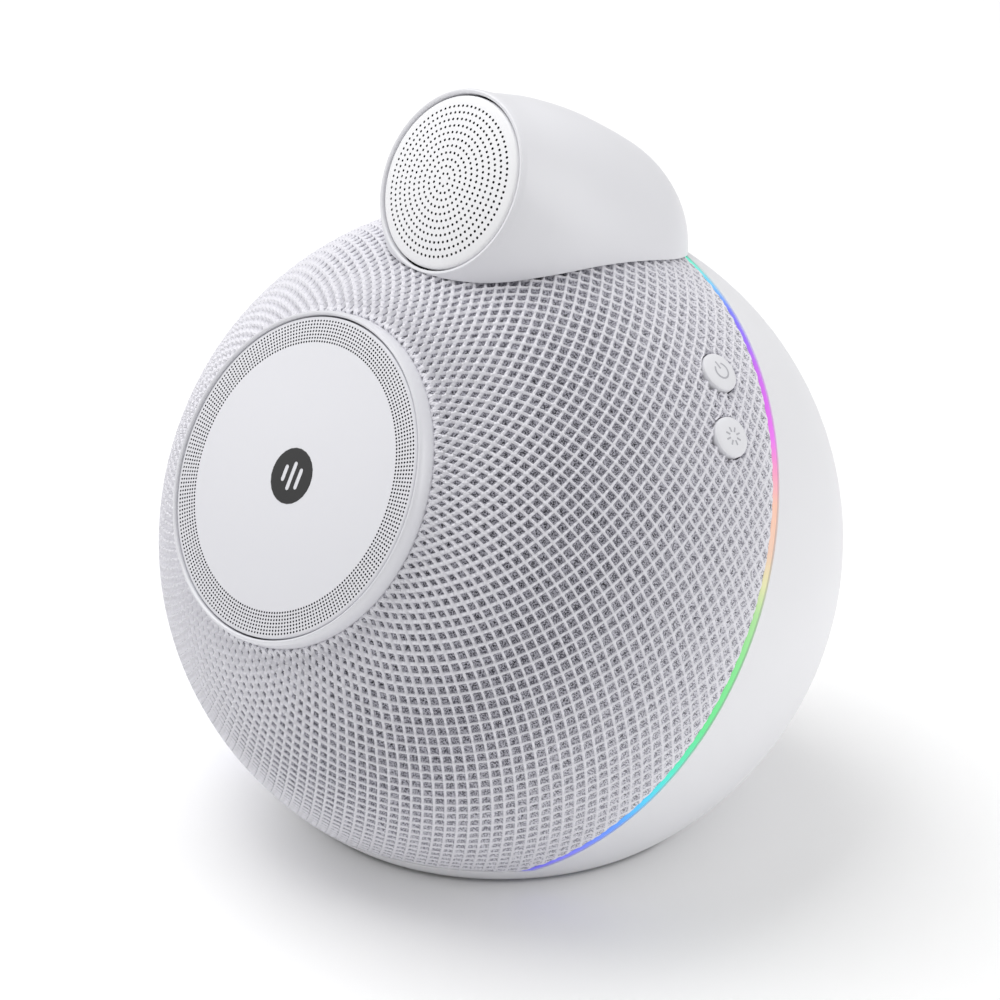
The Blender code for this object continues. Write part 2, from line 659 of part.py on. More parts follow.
# ----------------------------------------------------- base and electronics
def make_base():
    centre = frame("ball_centre", (0, 0, BALL_HEIGHT), Matrix.Identity(4))
    pad_low = -BALL_HEIGHT
    plate_low = pad_low + PAD_THICK + GAP
    disc("foot_pad", PAD_R, pad_low, pad_low + PAD_THICK, "rubber", centre, 36)
    plate = disc("bottom_plate", PLATE_R, plate_low, plate_low + PLATE_THICK, "matt_white", centre, 36)
    for i in range(4):
        angle = math.pi / 4 + i * math.pi / 2
        place = Vector((TAB_R * math.cos(angle), TAB_R * math.sin(angle), 0))
        recess = cutter(turned(f"recess_{i}", [
            (0.0, -60.0), (1.5, -60.0), (1.5, plate_low + 1.5), (3.0, plate_low + 1.5), (3.0, -80.0),
            (0.0, -80.0)], "steel", centre, 10))
        recess.data.transform(Matrix.Translation(place * MM))
        boolean(plate, recess)
        screw = make_screw(f"base_screw_{i + 1}", (0, 0), 0.0, 1.1, 2.5, 1.1, 6.0, centre)
        seat = Matrix.Translation(Vector((place.x, place.y, plate_low + 1.5 - GAP)) * MM)
        screw.data.transform(seat @ Matrix.Rotation(math.pi, 4, "X"))
    floor = plate_low + PLATE_THICK + GAP
    tray_size = Vector((70.0, 42.0, 12.0))
    tray = block("battery_tray", tray_size, (0, 0, floor + tray_size.z / 2), "dark_frame", centre, 2.0)
    cell_height = floor + CELL_R + 2.6
    for name, side in (("front", -1), ("back", 1)):
        y = (CELL_R + 1.0) * side
        groove = cutter(disc(f"groove_{name}", CELL_R + 0.4, -33.3, 33.3, "dark_frame", centre, 16))
        lie_along_x(groove, y, cell_height)
        boolean(tray, groove)
        cell = turned(f"battery_cell_{name}", [
            (0.0, 33.0), (3.0, 33.0), (3.0, 32.3), (CELL_R - 0.6, 32.3), (CELL_R, 31.7), (CELL_R, -32.3),
            (CELL_R - 0.6, -33.0), (0.0, -33.0)], "battery_wrap", centre, 16)
        lie_along_x(cell, y, cell_height)
    return centre


def lie_along_x(obj, y, z):
    """Lay a turned piece down along X at a place in millimetres."""
    place = Matrix.Translation(Vector((0, y, z)) * MM) @ Matrix.Rotation(math.pi / 2, 4, "Y")
    obj.data.transform(place)


def make_electronics(acoustic, port):
    board_low = -22.0
    block("main_board", (100.0, 60.0, 1.6), (0, 0, board_low + 0.8), "circuit_board", acoustic, 3.0)
    top = board_low + 1.6 + GAP
    block("amplifier_chip", (12.0, 12.0, 1.8), (-18.0, 6.0, top + 0.9), "black_plastic", acoustic)
    block("radio_module", (18.0, 14.0, 2.6), (20.0, 12.0, top + 1.3), "steel", acoustic)
    sink = block("heat_sink", (40.0, 24.0, 12.0), (-14.0, 4.0, board_low - GAP - 6.0), "aluminium", acoustic)
    for i in range(6):
        slot = cutter(block(f"fin_slot_{i}", (3.2, 30.0, 9.0), (-14.0 - 16.5 + 6.6 * i, 4.0,
                                                               board_low - GAP - 8.5), "aluminium", acoustic))
        boolean(sink, slot)
    make_port(port)


def make_port(port):
    """USB-C receptacle, open outwards round a tongue, and the small board behind it."""
    wall = 0.3
    back = 1.0
    middle = BALL_R - GAP - PORT_LENGTH / 2
    shell = block("usb_socket", (PORT_WIDTH, PORT_HEIGHT, PORT_LENGTH), (0, 0, middle), "steel", port, 1.6)
    mouth = cutter(block("socket_mouth", (PORT_WIDTH - 2 * wall, PORT_HEIGHT - 2 * wall, PORT_LENGTH),
                         (0, 0, middle + back), "steel", port, 1.3))
    tongue = cutter(block("socket_tongue", (6.6, 0.7, PORT_LENGTH - 2.5), (0, 0, middle - 0.6), "steel", port))
    boolean(mouth, tongue)
    boolean(shell, mouth)
    thickness = 1.2
    block("port_board", (16.0, 14.0, thickness), (0, 0, BALL_R - 2 * GAP - PORT_LENGTH - thickness / 2),
          "circuit_board", port, 1.0)


def bezier_points(a, b, c, d, count):
    """Points on a cubic curve, in millimetres from the ball's centre."""
    a, b, c, d = (Vector(p) for p in (a, b, c, d))
    points = []
    for i in range(count):
        t = i / (count - 1)
        u = 1.0 - t
        points.append(a * u ** 3 + b * 3 * u * u * t + c * 3 * u * t * t + d * t ** 3)
    return points


def make_cable(name, stretches, diameter, parent):
    """Round cable along joined cubic curves."""
    curve = bpy.data.curves.new(name, "CURVE")
    curve.dimensions = "3D"
    curve.bevel_depth = diameter / 2 * MM
    curve.bevel_resolution = 1
    curve.use_fill_caps = True
    points = []
    for controls in stretches:
        points += bezier_points(*controls, 10)[1 if points else 0:]
    spline = curve.splines.new("POLY")
    spline.points.add(len(points) - 1)
    for slot, point in zip(spline.points, points):
        slot.co = (*(point * MM), 1.0)
    curve.materials.append(finish("cable_sheath"))
    obj = bpy.data.objects.new(name, curve)
    bpy.context.scene.collection.objects.link(obj)
    obj.parent = parent


def make_cables(acoustic, centre):
    make_cable("woofer_cable", [((0, 0, 24.8), (0, 0, 6), (30, -15, 6), (30, -15, -19.9))], 2.6, acoustic)
    feed = cutter(disc("cable_hole", 2.0, 60.0, 85.0, "dark_frame", centre, 10))
    feed.data.transform(Matrix.Translation((0, 9.0 * MM, 0)))
    boolean(bpy.data.objects["front_baffle"], feed)
    make_cable("tweeter_cable", [((0, -3.2, 96.3), (0, 6.5, 91.1), (0, 9, 86), (0, 9, 72)),
                                 ((0, 9, 72), (0, 9, 40), (-30, 4.2, 9.2), (-30, 21.8, -0.6))], 2.0, centre)


# ------------------------------------------------------------------ assembly
def build():
    clear_scene()
    acoustic = frame("acoustic_axis", (0, 0, BALL_HEIGHT), Matrix.Rotation(math.radians(90 - AXIS_RISE), 4, "X"))
    pod = frame("pod_axis", (0, POD_Y, BALL_HEIGHT + POD_Z), Matrix.Rotation(math.radians(90 - POD_RISE), 4, "X"))
    drop = math.radians(PORT_DROP)
    port = frame("port_axis", (0, 0, BALL_HEIGHT), Matrix.Rotation(-(math.pi / 2 + drop), 4, "X"))

    make_rear_shell(acoustic, port)
    fabric = make_fabric_cover(acoustic)
    grille_frame = make_grille_frame(acoustic)
    make_front_baffle(acoustic)
    make_light_ring(acoustic)
    make_led_strip(acoustic)
    make_woofer_front(acoustic)
    make_woofer(acoustic)
    make_buttons(acoustic, fabric, grille_frame)
    hull = make_hull_cutter(acoustic)
    make_pod_housing(pod, hull)
    make_tweeter(pod)
    neck = cutter(disc("pod_opening", 1.0, 70.0, 110.0, "knit", None, 28))
    neck.data.transform(Matrix.Translation((0, 0, BALL_HEIGHT * MM)) @ Matrix.Diagonal((NECK_X, NECK_Y, 1, 1)))
    boolean(fabric, neck)
    boolean(grille_frame, neck)
    centre = make_base()
    make_electronics(acoustic, port)
    make_cables(acoustic, centre)


build()
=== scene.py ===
# %% [markdown]
# # A round smart speaker, dressed for its portrait
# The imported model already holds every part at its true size. This lesson
# gives it its looks: smooth mouldings, a real knitted cover, a lit ring,
# drilled grilles and one studio picture. We start by loading the model as a
# fixed frame, because every new piece takes its place from it.

# %% Load the frame
import json
import math
import bpy
import bmesh
from mathutils import Matrix, Vector


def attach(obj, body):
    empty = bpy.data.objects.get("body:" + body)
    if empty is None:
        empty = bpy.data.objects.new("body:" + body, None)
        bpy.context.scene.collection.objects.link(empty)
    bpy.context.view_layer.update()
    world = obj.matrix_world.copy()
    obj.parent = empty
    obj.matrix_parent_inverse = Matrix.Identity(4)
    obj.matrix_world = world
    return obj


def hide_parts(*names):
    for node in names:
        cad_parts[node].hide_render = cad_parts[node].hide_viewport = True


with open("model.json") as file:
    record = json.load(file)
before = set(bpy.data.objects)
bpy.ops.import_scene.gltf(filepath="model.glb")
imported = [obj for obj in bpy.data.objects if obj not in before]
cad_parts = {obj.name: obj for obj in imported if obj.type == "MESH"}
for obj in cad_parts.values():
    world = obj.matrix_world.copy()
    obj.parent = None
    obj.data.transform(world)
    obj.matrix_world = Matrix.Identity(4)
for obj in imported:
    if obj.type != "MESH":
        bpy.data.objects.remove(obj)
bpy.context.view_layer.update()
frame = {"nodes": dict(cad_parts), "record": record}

MM = 0.001
nodes = frame["nodes"]
print("parts in the frame:", len(nodes))

# %% [markdown]
# ## Where things face
# The speaker is a ball, and most parts are round about one of three axes:
# the woofer's, which looks forward and up, the tweeter's in its pod on top,
# and the charging port's at the back. Each gets a matrix, so that a piece is
# drawn in millimetres round its own Z axis and then put in place once.

# %% The axes of the ball
BALL_R = 90.0
BALL_HEIGHT = 73.5
ball = Matrix.Translation((0, 0, BALL_HEIGHT * MM))
WOOFER_TILT = math.radians(61.0)
POD_TILT = math.radians(62.0)
PORT_TILT = math.radians(-108.0)
POD_FRONT = Vector((0, -17.26, 177.3)) * MM
woofer_axis = ball @ Matrix.Rotation(WOOFER_TILT, 4, "X")
pod_axis = Matrix.Translation(POD_FRONT) @ Matrix.Rotation(POD_TILT, 4, "X")
port_axis = ball @ Matrix.Rotation(PORT_TILT, 4, "X")
EDGE_DEPTH = 0.75
SHELL_DEPTH = -1.9
SKIRT_TOP = -66.0
FOOT_EDGE = -72.7
BAND_FOOT = -65.7
print("woofer looks along", [round(x, 3) for x in woofer_axis.to_3x3() @ Vector((0, 0, 1))])

# %% [markdown]
# ## The camera and the studio
# A product portrait is taken with a long lens from a little above, so the
# ball stays round. The room is one pale sheet of paper and three soft lamps:
# a big key from high on the left that leaves a soft shadow at the lower
# right, a small one that the front disc mirrors as a sheen, and a side fill.

# %% Camera
EYE = Vector((0.7155, -0.6454, 0.4450 + BALL_HEIGHT * MM))
LOOKS_DOWN = 24.24
TURNED_BY = 47.96
camera_data = bpy.data.cameras.new("portrait_camera")
camera_data.sensor_width = 36.0
camera_data.lens = 144.96
camera = bpy.data.objects.new("portrait_camera", camera_data)
camera.location = EYE
camera.rotation_euler = (math.radians(90 - LOOKS_DOWN), 0, math.radians(TURNED_BY))
bpy.context.scene.collection.objects.link(camera)
bpy.context.scene.camera = camera
bpy.context.scene.view_settings.view_transform = "Standard"

# %% Lamps, floor and air
def lamp(name, place, target, size, watts):
    """A square soft lamp that looks at a target, both in metres."""
    data = bpy.data.lights.new(name, "AREA")
    data.size = size
    data.energy = watts
    obj = bpy.data.objects.new(name, data)
    obj.location = place
    obj.rotation_euler = (Vector(target) - Vector(place)).to_track_quat("-Z", "Y").to_euler()
    bpy.context.scene.collection.objects.link(obj)


MIDDLE = (0, 0, 0.09)
lamp("key_lamp", (-0.55, -0.15, 1.30), MIDDLE, 1.2, 14.0)
lamp("sheen_lamp", (-0.90, -0.80, 0.55), MIDDLE, 0.35, 0.7)
lamp("side_lamp", (1.20, 0.75, 0.55), MIDDLE, 1.0, 5.5)
world = bpy.data.worlds.new("studio_air")
world.use_nodes = True
world.node_tree.nodes["Background"].inputs["Color"].default_value = (1.0, 1.0, 1.0, 1.0)
world.node_tree.nodes["Background"].inputs["Strength"].default_value = 0.55
bpy.context.scene.world = world

# %% [markdown]
# ## Tools for materials
# Colours are written as sRGB hex, the way a designer notes them, and one
# function turns them to the linear values that a renderer adds up. One more
# function adds a shader node with its settings and links. Each finish then
# starts from a Principled shader with the real material's index and gloss,
# and its surface is a bump whose depth is given in millimetres.

# %% Colour and node helpers
def linear(hex_code):
    """Linear RGBA of an sRGB hex colour."""
    values = [int(hex_code[i:i + 2], 16) / 255 for i in (0, 2, 4)]
    return [v / 12.92 if v <= 0.04045 else ((v + 0.055) / 1.055) ** 2.4 for v in values] + [1.0]


def add(tree, kind, values=None, links=None, **settings):
    """Add a shader node, set its properties and socket values, and link its inputs."""
    made = tree.nodes.new("ShaderNode" + kind)
    for name, value in settings.items():
        setattr(made, name, value)
    for socket, value in (values or {}).items():
        made.inputs[socket].default_value = value
    for socket, source in (links or {}).items():
        tree.links.new(source, made.inputs[socket])
    return made


def start_material(name, **sockets):
    """A new material with its tree and its Principled shader, sockets set."""
    material = bpy.data.materials.new(name)
    material.use_nodes = True
    tree = material.node_tree
    shader = tree.nodes["Principled BSDF"]
    for socket, value in sockets.items():
        shader.inputs[socket.replace("_", " ")].default_value = value
    return material, tree, shader


def per_mm(size):
    """Texture scale that repeats every so many millimetres in Object coordinates."""
    return 1.0 / (size * MM)


# %% [markdown]
# ## Moulded plastics
# Most of the speaker is injection-moulded ABS. Its surface is that of the
# steel mould: spark erosion leaves a fine, even grain, and a lacquered part
# has only a faint wave, the orange peel. Both are noise, one fine and one
# slow, with a very slight change of tone over the part. A clear coat on the
# front disc gives it a second, sharper sheen. Real grain is near 0.05 mm,
# too fine to show, so it is drawn about ten times as coarse.

# %% Plastics
def moulded(name, colour, roughness, grain_mm, depth_mm, tone=0.04, **sockets):
    """Moulded plastic: a grain of this size and depth, and a slow drift of tone."""
    material, tree, shader = start_material(name, Roughness=roughness, IOR=1.5, **sockets)
    place = add(tree, "TexCoord").outputs["Object"]
    grain = add(tree, "TexNoise", {"Scale": per_mm(grain_mm), "Detail": 2.0}, {"Vector": place})
    drift = add(tree, "TexNoise", {"Scale": per_mm(35.0), "Detail": 1.0}, {"Vector": place})
    base = linear(colour)
    worn = [c * (1 - tone) for c in base[:3]] + [1.0]
    mix = add(tree, "Mix", {6: base, 7: worn}, {0: drift.outputs["Fac"]}, data_type="RGBA")
    tree.links.new(mix.outputs[2], shader.inputs["Base Color"])
    bump = add(tree, "Bump", {"Distance": depth_mm * MM}, {"Height": grain.outputs["Fac"]})
    tree.links.new(bump.outputs["Normal"], shader.inputs["Normal"])
    return material


finishes = {
    # painted shade and painted light: one white lacquered ABS, darker here on the front disc and bezel,
    # lighter below on the pod
    "satin_white": moulded("lacquered_white_abs", "DEDEE3", 0.28, 2.2, 0.006,
                           Coat_Weight=0.4, Coat_Roughness=0.25),
    "pod_white_painted_lighter": moulded("lacquered_white_abs_painted_lighter", "E4E4E8", 0.34, 2.2, 0.006),
    "cap_white": moulded("powder_coated_white_steel", "F2F2F4", 0.4, 0.6, 0.008),
    "matt_white": moulded("spark_grained_white_abs", "EAEAED", 0.48, 0.5, 0.012),
    "button_grey": moulded("fine_matt_grey_abs", "E6E6EA", 0.5, 0.4, 0.01),
    "black_plastic": moulded("satin_black_abs", "0E0E10", 0.35, 0.5, 0.008),
    "sign_grey": moulded("printed_grey_ink", "B4B4BA", 0.5, 0.3, 0.004),
    "paper_floor": moulded("matt_studio_paper", "FFFFFF", 0.9, 1.0, 0.01, tone=0.0),
    "dark_frame": moulded("glass_filled_black_nylon", "1C1C20", 0.55, 0.6, 0.03),
    "circuit_board": moulded("green_solder_mask_on_glass_epoxy", "1E5A36", 0.3, 0.9, 0.02),
    "battery_wrap": moulded("shrunk_pvc_battery_sleeve", "2F6FB0", 0.3, 6.0, 0.05),
    "cable_sheath": moulded("extruded_black_pvc_sheath", "202024", 0.45, 1.2, 0.02),
    "rubber": moulded("moulded_silicone_rubber", "3A3A3E", 0.7, 0.5, 0.02),
    "ferrite": moulded("sintered_ferrite", "2A2A2C", 0.6, 0.8, 0.05),
}
print("plastics:", len(finishes))

# %% [markdown]
# ## Metals and the small stuff inside
# Nobody sees the magnets or the screws until the speaker is opened, yet each
# still gets the surface it has in the hand: drawn or plated metal has fine
# scratches and spots of uneven gloss, copper wire lies in turns, and cone
# paper is felted fibre. A metal keeps the default index and is told apart
# by its colour and roughness alone. Scratches and fibres are drawn a few
# times wider than real ones, so that they show.

# %% Metals, paper and silk
def metal(name, colour, roughness, grain_mm, depth_mm, stretch=(1, 1, 1)):
    """Bare metal whose gloss and scratches vary; stretch draws the scratches out."""
    material, tree, shader = start_material(name, Metallic=1.0)
    place = add(tree, "TexCoord").outputs["Object"]
    drawn = add(tree, "Mapping", {"Scale": stretch}, {"Vector": place})
    grain = add(tree, "TexNoise", {"Scale": per_mm(grain_mm), "Detail": 4.0}, {"Vector": drawn.outputs[0]})
    gloss = add(tree, "MapRange", {3: roughness * 0.8, 4: roughness * 1.25}, {0: grain.outputs["Fac"]})
    base = linear(colour)
    dull = [c * 0.8 for c in base[:3]] + [1.0]
    mix = add(tree, "Mix", {6: base, 7: dull}, {0: grain.outputs["Fac"]}, data_type="RGBA")
    tree.links.new(mix.outputs[2], shader.inputs["Base Color"])
    tree.links.new(gloss.outputs[0], shader.inputs["Roughness"])
    bump = add(tree, "Bump", {"Distance": depth_mm * MM}, {"Height": grain.outputs["Fac"]})
    tree.links.new(bump.outputs["Normal"], shader.inputs["Normal"])
    return material


def felted(name, colour, roughness, fibre_mm, depth_mm):
    """Pressed paper or doped silk: fibres in every direction."""
    material, tree, shader = start_material(name, Roughness=roughness, Sheen_Weight=0.3)
    place = add(tree, "TexCoord").outputs["Object"]
    fibre = add(tree, "TexVoronoi", {"Scale": per_mm(fibre_mm)}, {"Vector": place},
                feature="DISTANCE_TO_EDGE")
    cloud = add(tree, "TexNoise", {"Scale": per_mm(fibre_mm * 6), "Detail": 3.0}, {"Vector": place})
    base = linear(colour)
    light = [min(1.0, c * 1.5) for c in base[:3]] + [1.0]
    mix = add(tree, "Mix", {6: base, 7: light}, {0: cloud.outputs["Fac"]}, data_type="RGBA")
    tree.links.new(mix.outputs[2], shader.inputs["Base Color"])
    bump = add(tree, "Bump", {"Distance": depth_mm * MM}, {"Height": fibre.outputs["Distance"]})
    tree.links.new(bump.outputs["Normal"], shader.inputs["Normal"])
    return material


finishes.update({
    "steel": metal("nickel_plated_steel", "C9C9CC", 0.28, 0.8, 0.004),
    "zinc_steel": metal("zinc_plated_steel", "B9BDBF", 0.4, 1.5, 0.01),
    "aluminium": metal("brushed_aluminium", "D2D3D6", 0.35, 3.0, 0.01, (1, 12, 1)),
    "copper": metal("enamelled_copper_wire", "C77B4A", 0.3, 2.0, 0.03, (1, 1, 12)),
    "paper": felted("pressed_cone_paper", "26262A", 0.85, 0.6, 0.05),
    "silk": felted("doped_silk", "2B2B30", 0.6, 0.4, 0.03),
})

# %% [markdown]
# ## Light in a polycarbonate ring
# The ring is milky polycarbonate with a strip of coloured LEDs behind it. The
# LEDs blend into each other, so round the ring the colour runs through the
# rainbow. The angle round the woofer axis picks the colour from a ramp: the
# place is turned into that axis with a Mapping node, and the arctangent of
# its two flat coordinates gives the angle, the same on the left and right.

# %% Ring of light
GLOW = ("0:20E0A0 12:30EDBE 18:3FEFCB 24:4FB8F8 30:5C60F0 36:8450F2 42:C24CE8 50:DB50E6 55:E964EA 60:F48CC0 "
        "66:F2BCA0 74:E8C0A4 79:DDDCA0 84:A0DA88 93:70E07C 104:4CE280 110:38E4A8 114:25E7C9 120:20C8F8 "
        "127:3F8CF9 136:6468EE 144:5048D8 156:4840B8")


def lit_ring_material():
    material, tree, shader = start_material("opal_polycarbonate_light_guide", Roughness=0.35, IOR=1.585)
    place = add(tree, "TexCoord").outputs["Object"]
    centred = add(tree, "Mapping", {"Location": (0.0, 0.0, -BALL_HEIGHT * MM)}, {"Vector": place})
    tilted = add(tree, "Mapping", {"Rotation": (-WOOFER_TILT, 0, 0)}, {"Vector": centred.outputs[0]})
    parts = add(tree, "SeparateXYZ", None, {0: tilted.outputs[0]})
    side = add(tree, "Math", None, {0: parts.outputs["X"]}, operation="ABSOLUTE")
    angle = add(tree, "Math", None, {0: side.outputs[0], 1: parts.outputs["Y"]}, operation="ARCTAN2")
    share = add(tree, "Math", {1: math.pi}, {0: angle.outputs[0]}, operation="DIVIDE")
    ramp = add(tree, "ValToRGB", None, {0: share.outputs[0]})
    stops = ramp.color_ramp.elements
    entries = [entry.split(":") for entry in GLOW.split()]
    while len(stops) < len(entries):
        stops.new(1.0)
    for stop, (degrees, colour) in zip(stops, entries):
        stop.position = float(degrees) / 180.0
        stop.color = linear(colour)
    tree.links.new(ramp.outputs["Color"], shader.inputs["Emission Color"])
    shader.inputs["Base Color"].default_value = linear("4A4A52")
    shader.inputs["Emission Strength"].default_value = 0.95
    return material


finishes["diffuser"] = lit_ring_material()

# %% [markdown]
# ## Knitted polyester
# The cover is a piqué knit: fat white ribs cross in a lattice, and between them small pits show the darker,
# flecked ground yarn. The pits are painted darker still as painted shade, darkest at the centre of each pit.
# The mesh further on has the ribs and pits as real relief and carries two UV maps. One counts the lattice,
# one whole number per rib, and draws the pits' flecks and the twist of the yarn. The other is the way from
# the ring in millimetres: the cloth is taut and thin at the ring, so its ribs are slim there and its pits
# shallow, and the painted shade in the pits is lighter near the ring. A real fleck is a few fibres wide; ours
# are three times that, to show.

# %% Knit
FLECK = 0.42
YARN_RELIEF = 0.10


def knit_material():
    material, tree, shader = start_material("polyester_pique_knit", Roughness=0.85, Sheen_Weight=0.25,
                                            Sheen_Roughness=0.5)
    lattice = add(tree, "UVMap", uv_map="lattice").outputs["UV"]
    parts = add(tree, "SeparateXYZ", None, {0: lattice})
    nearest = [add(tree, "Math", {1: 0.5}, {0: parts.outputs[axis]}, operation="PINGPONG")
               for axis in "XY"]
    rib = add(tree, "Math", None, {0: nearest[0].outputs[0], 1: nearest[1].outputs[0]}, operation="MINIMUM")
    place = add(tree, "TexCoord").outputs["Object"]
    fleck = add(tree, "TexNoise", {"Scale": per_mm(FLECK), "Detail": 2.0, "Roughness": 0.7},
                {"Vector": place})
    wobble = add(tree, "Math", {1: 0.10, 2: -0.05}, {0: fleck.outputs["Fac"]}, operation="MULTIPLY_ADD")
    rough_rib = add(tree, "Math", None, {0: rib.outputs[0], 1: wobble.outputs[0]}, operation="ADD")
    outline = add(tree, "UVMap", uv_map="outline").outputs["UV"]
    run = add(tree, "SeparateXYZ", None, {0: outline}).outputs["X"]
    begin = add(tree, "MapRange", {1: 60.0, 2: 93.0, 3: 0.07, 4: 0.19}, {0: run})
    finish = add(tree, "MapRange", {1: 60.0, 2: 93.0, 3: 0.15, 4: 0.28}, {0: run})
    pit = add(tree, "MapRange", None, {0: rough_rib.outputs[0], 1: begin.outputs[0], 2: finish.outputs[0]},
              interpolation_type="SMOOTHSTEP")
    speck = add(tree, "MapRange", {1: 0.44, 2: 0.56}, {0: fleck.outputs["Fac"]}).outputs[0]
    # painted shade: the pits are painted darkest at their centres
    pit_centre_shade = add(tree, "MapRange", {1: 0.24, 2: 0.44, 3: 1.0, 4: 0.0}, {0: rib.outputs[0]}).outputs[0]
    # painted shade in the pits fades lighter towards the ring, where the pits are shallower
    pit_shade_fade_near_ring = add(tree, "MapRange", {1: 0.0, 2: 50.0, 3: 1.0, 4: 0.0}, {0: run}).outputs[0]
    tones = []
    for more_pit_shade, less_pit_shade in (("17161C", "4C4B55"), ("5E5D68", "A2A1AC"), ("C6C5CF", "ECEBF2")):
        tone = add(tree, "Mix", {6: linear(more_pit_shade), 7: linear(less_pit_shade)}, {0: pit_shade_fade_near_ring}, data_type="RGBA")
        tones.append(tone.outputs[2])
    painted_pit_core_shadow, pit_flank_with_shade, flecks = tones
    slope = add(tree, "Mix", None, {0: pit_centre_shade, 6: painted_pit_core_shadow, 7: pit_flank_with_shade}, data_type="RGBA").outputs[2]
    ground_yarn_and_pit_shade = add(tree, "Mix", None, {0: speck, 6: slope, 7: flecks}, data_type="RGBA").outputs[2]
    yarn = add(tree, "Mix", {6: linear("D9D8E0"), 7: linear("FBFAFF")}, {0: fleck.outputs["Fac"]},
               data_type="RGBA").outputs[2]
    colour = add(tree, "Mix", None, {0: pit.outputs[0], 6: yarn, 7: ground_yarn_and_pit_shade}, data_type="RGBA")
    tree.links.new(colour.outputs[2], shader.inputs["Base Color"])
    twist = add(tree, "TexWave", {"Scale": 1.1, "Distortion": 1.5, "Detail": 1.0}, {"Vector": lattice},
                bands_direction="DIAGONAL")
    height = add(tree, "Math", None, {0: twist.outputs["Fac"], 1: fleck.outputs["Fac"]}, operation="ADD")
    bump = add(tree, "Bump", {"Distance": YARN_RELIEF * MM}, {"Height": height.outputs[0]})
    tree.links.new(bump.outputs["Normal"], shader.inputs["Normal"])
    return material


finishes["knit"] = knit_material()
print("finishes:", len(finishes))

# %% [markdown]
# ## Dress the parts that stay
# The parts inside keep the shape they were built in. Each one's slot is
# named for its finish, so one loop gives every part its material.

# %% Finishes on the frame's own parts
for part in nodes.values():
    for slot in part.material_slots:
        slot.material = finishes[slot.material.name.split(".")[0]]
print("parts dressed:", len(nodes))

# %% [markdown]
# ## Tools for shapes
# Pieces are drawn in millimetres round their own Z axis. A turned part is a
# profile spun round that axis, and a finished piece is scaled to metres, put
# in place once in its mesh, and tied to the body that it moves with.

# %% Shape helpers
def wire(bm, points, closed=False):
    """Vertices and edges through some points."""
    verts = [bm.verts.new(p) for p in points]
    pairs = list(zip(verts, verts[1:])) + ([(verts[-1], verts[0])] if closed else [])
    return verts, [bm.edges.new(pair) for pair in pairs]


def turn(bm, profile, steps):
    """Spin (radius, height) points once round Z; points on the axis close up."""
    verts, edges = wire(bm, [(r, 0.0, z) for r, z in profile])
    bmesh.ops.spin(bm, geom=verts + edges, cent=(0, 0, 0), axis=(0, 0, 1), angle=math.tau, steps=steps,
                   use_merge=True, use_duplicate=False)
    bmesh.ops.remove_doubles(bm, verts=bm.verts, dist=1e-4)
    bmesh.ops.recalc_face_normals(bm, faces=bm.faces)


def soften(bm, offset, segments=3, angle=40.0, where=lambda middle: True):
    """Round the edges that are sharper than an angle and lie where a test says."""
    sharp = []
    for edge in bm.edges:
        if len(edge.link_faces) == 2 and edge.calc_face_angle() > math.radians(angle):
            if where((edge.verts[0].co + edge.verts[1].co) / 2):
                sharp.append(edge)
    bmesh.ops.bevel(bm, geom=sharp, offset=offset, offset_type="OFFSET", segments=segments, profile=0.5,
                    affect="EDGES", material=-1, clamp_overlap=True)


def to_piece(name, bm, place, *materials, angle=32.0):
    """A mesh object in metres at the origin, with its place in its mesh, shaded smooth up to an angle."""
    bm.transform(place @ Matrix.Scale(MM, 4))
    mesh = bpy.data.meshes.new(name)
    bm.to_mesh(mesh)
    bm.free()
    mesh.shade_smooth()
    mesh.set_sharp_from_angle(angle=math.radians(angle))
    for material in materials:
        mesh.materials.append(finishes[material])
    obj = bpy.data.objects.new(name, mesh)
    bpy.context.scene.collection.objects.link(obj)
    return obj


def settle(obj, body="chassis", stands_for=()):
    """Tie a piece to its body, hide the parts that it stands for, and print its triangle count."""
    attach(obj, body)
    if stands_for:
        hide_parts(*stands_for)
    obj.data.calc_loop_triangles()
    print(f"{obj.name}: {len(obj.data.loop_triangles)} triangles")
    return obj


def carve(obj, tool, operation="DIFFERENCE"):
    """Cut a piece with another solid, and take the solid away."""
    modifier = obj.modifiers.new("carve", "BOOLEAN")
    modifier.operation = operation
    modifier.solver = "EXACT"
    modifier.object = tool
    carved = bpy.data.meshes.new_from_object(obj.evaluated_get(bpy.context.evaluated_depsgraph_get()))
    obj.modifiers.clear()
    obj.data = carved
    bpy.data.objects.remove(tool)
    carved.set_sharp_from_angle(angle=math.radians(32.0))


# %% [markdown]
# ## The outline under everything
# The knitted front is a sphere up to 40 degrees off the ring, and from there
# a tighter curve that runs into the woofer's bezel. The same outline is used
# three times: to wrap the knit, to seat the pod, and to know where the cloth
# dips under the pod. It is walked by length, as a thread would follow it.

# %% Outline by arc length
FLAT_FROM = math.radians(40.0)
NOSE_R = 59.4
NOSE_CENTRE = ((BALL_R - NOSE_R) * math.cos(FLAT_FROM), (BALL_R - NOSE_R) * math.sin(FLAT_FROM))
NOSE_END = math.radians(70.0)
HEM_R = 0.9
SPHERE_RUN = BALL_R * FLAT_FROM
NOSE_RUN = NOSE_R * (NOSE_END - FLAT_FROM)
HEM_RUN = HEM_R * math.radians(95.0)
CLOTH_RUN = SPHERE_RUN + NOSE_RUN + HEM_RUN


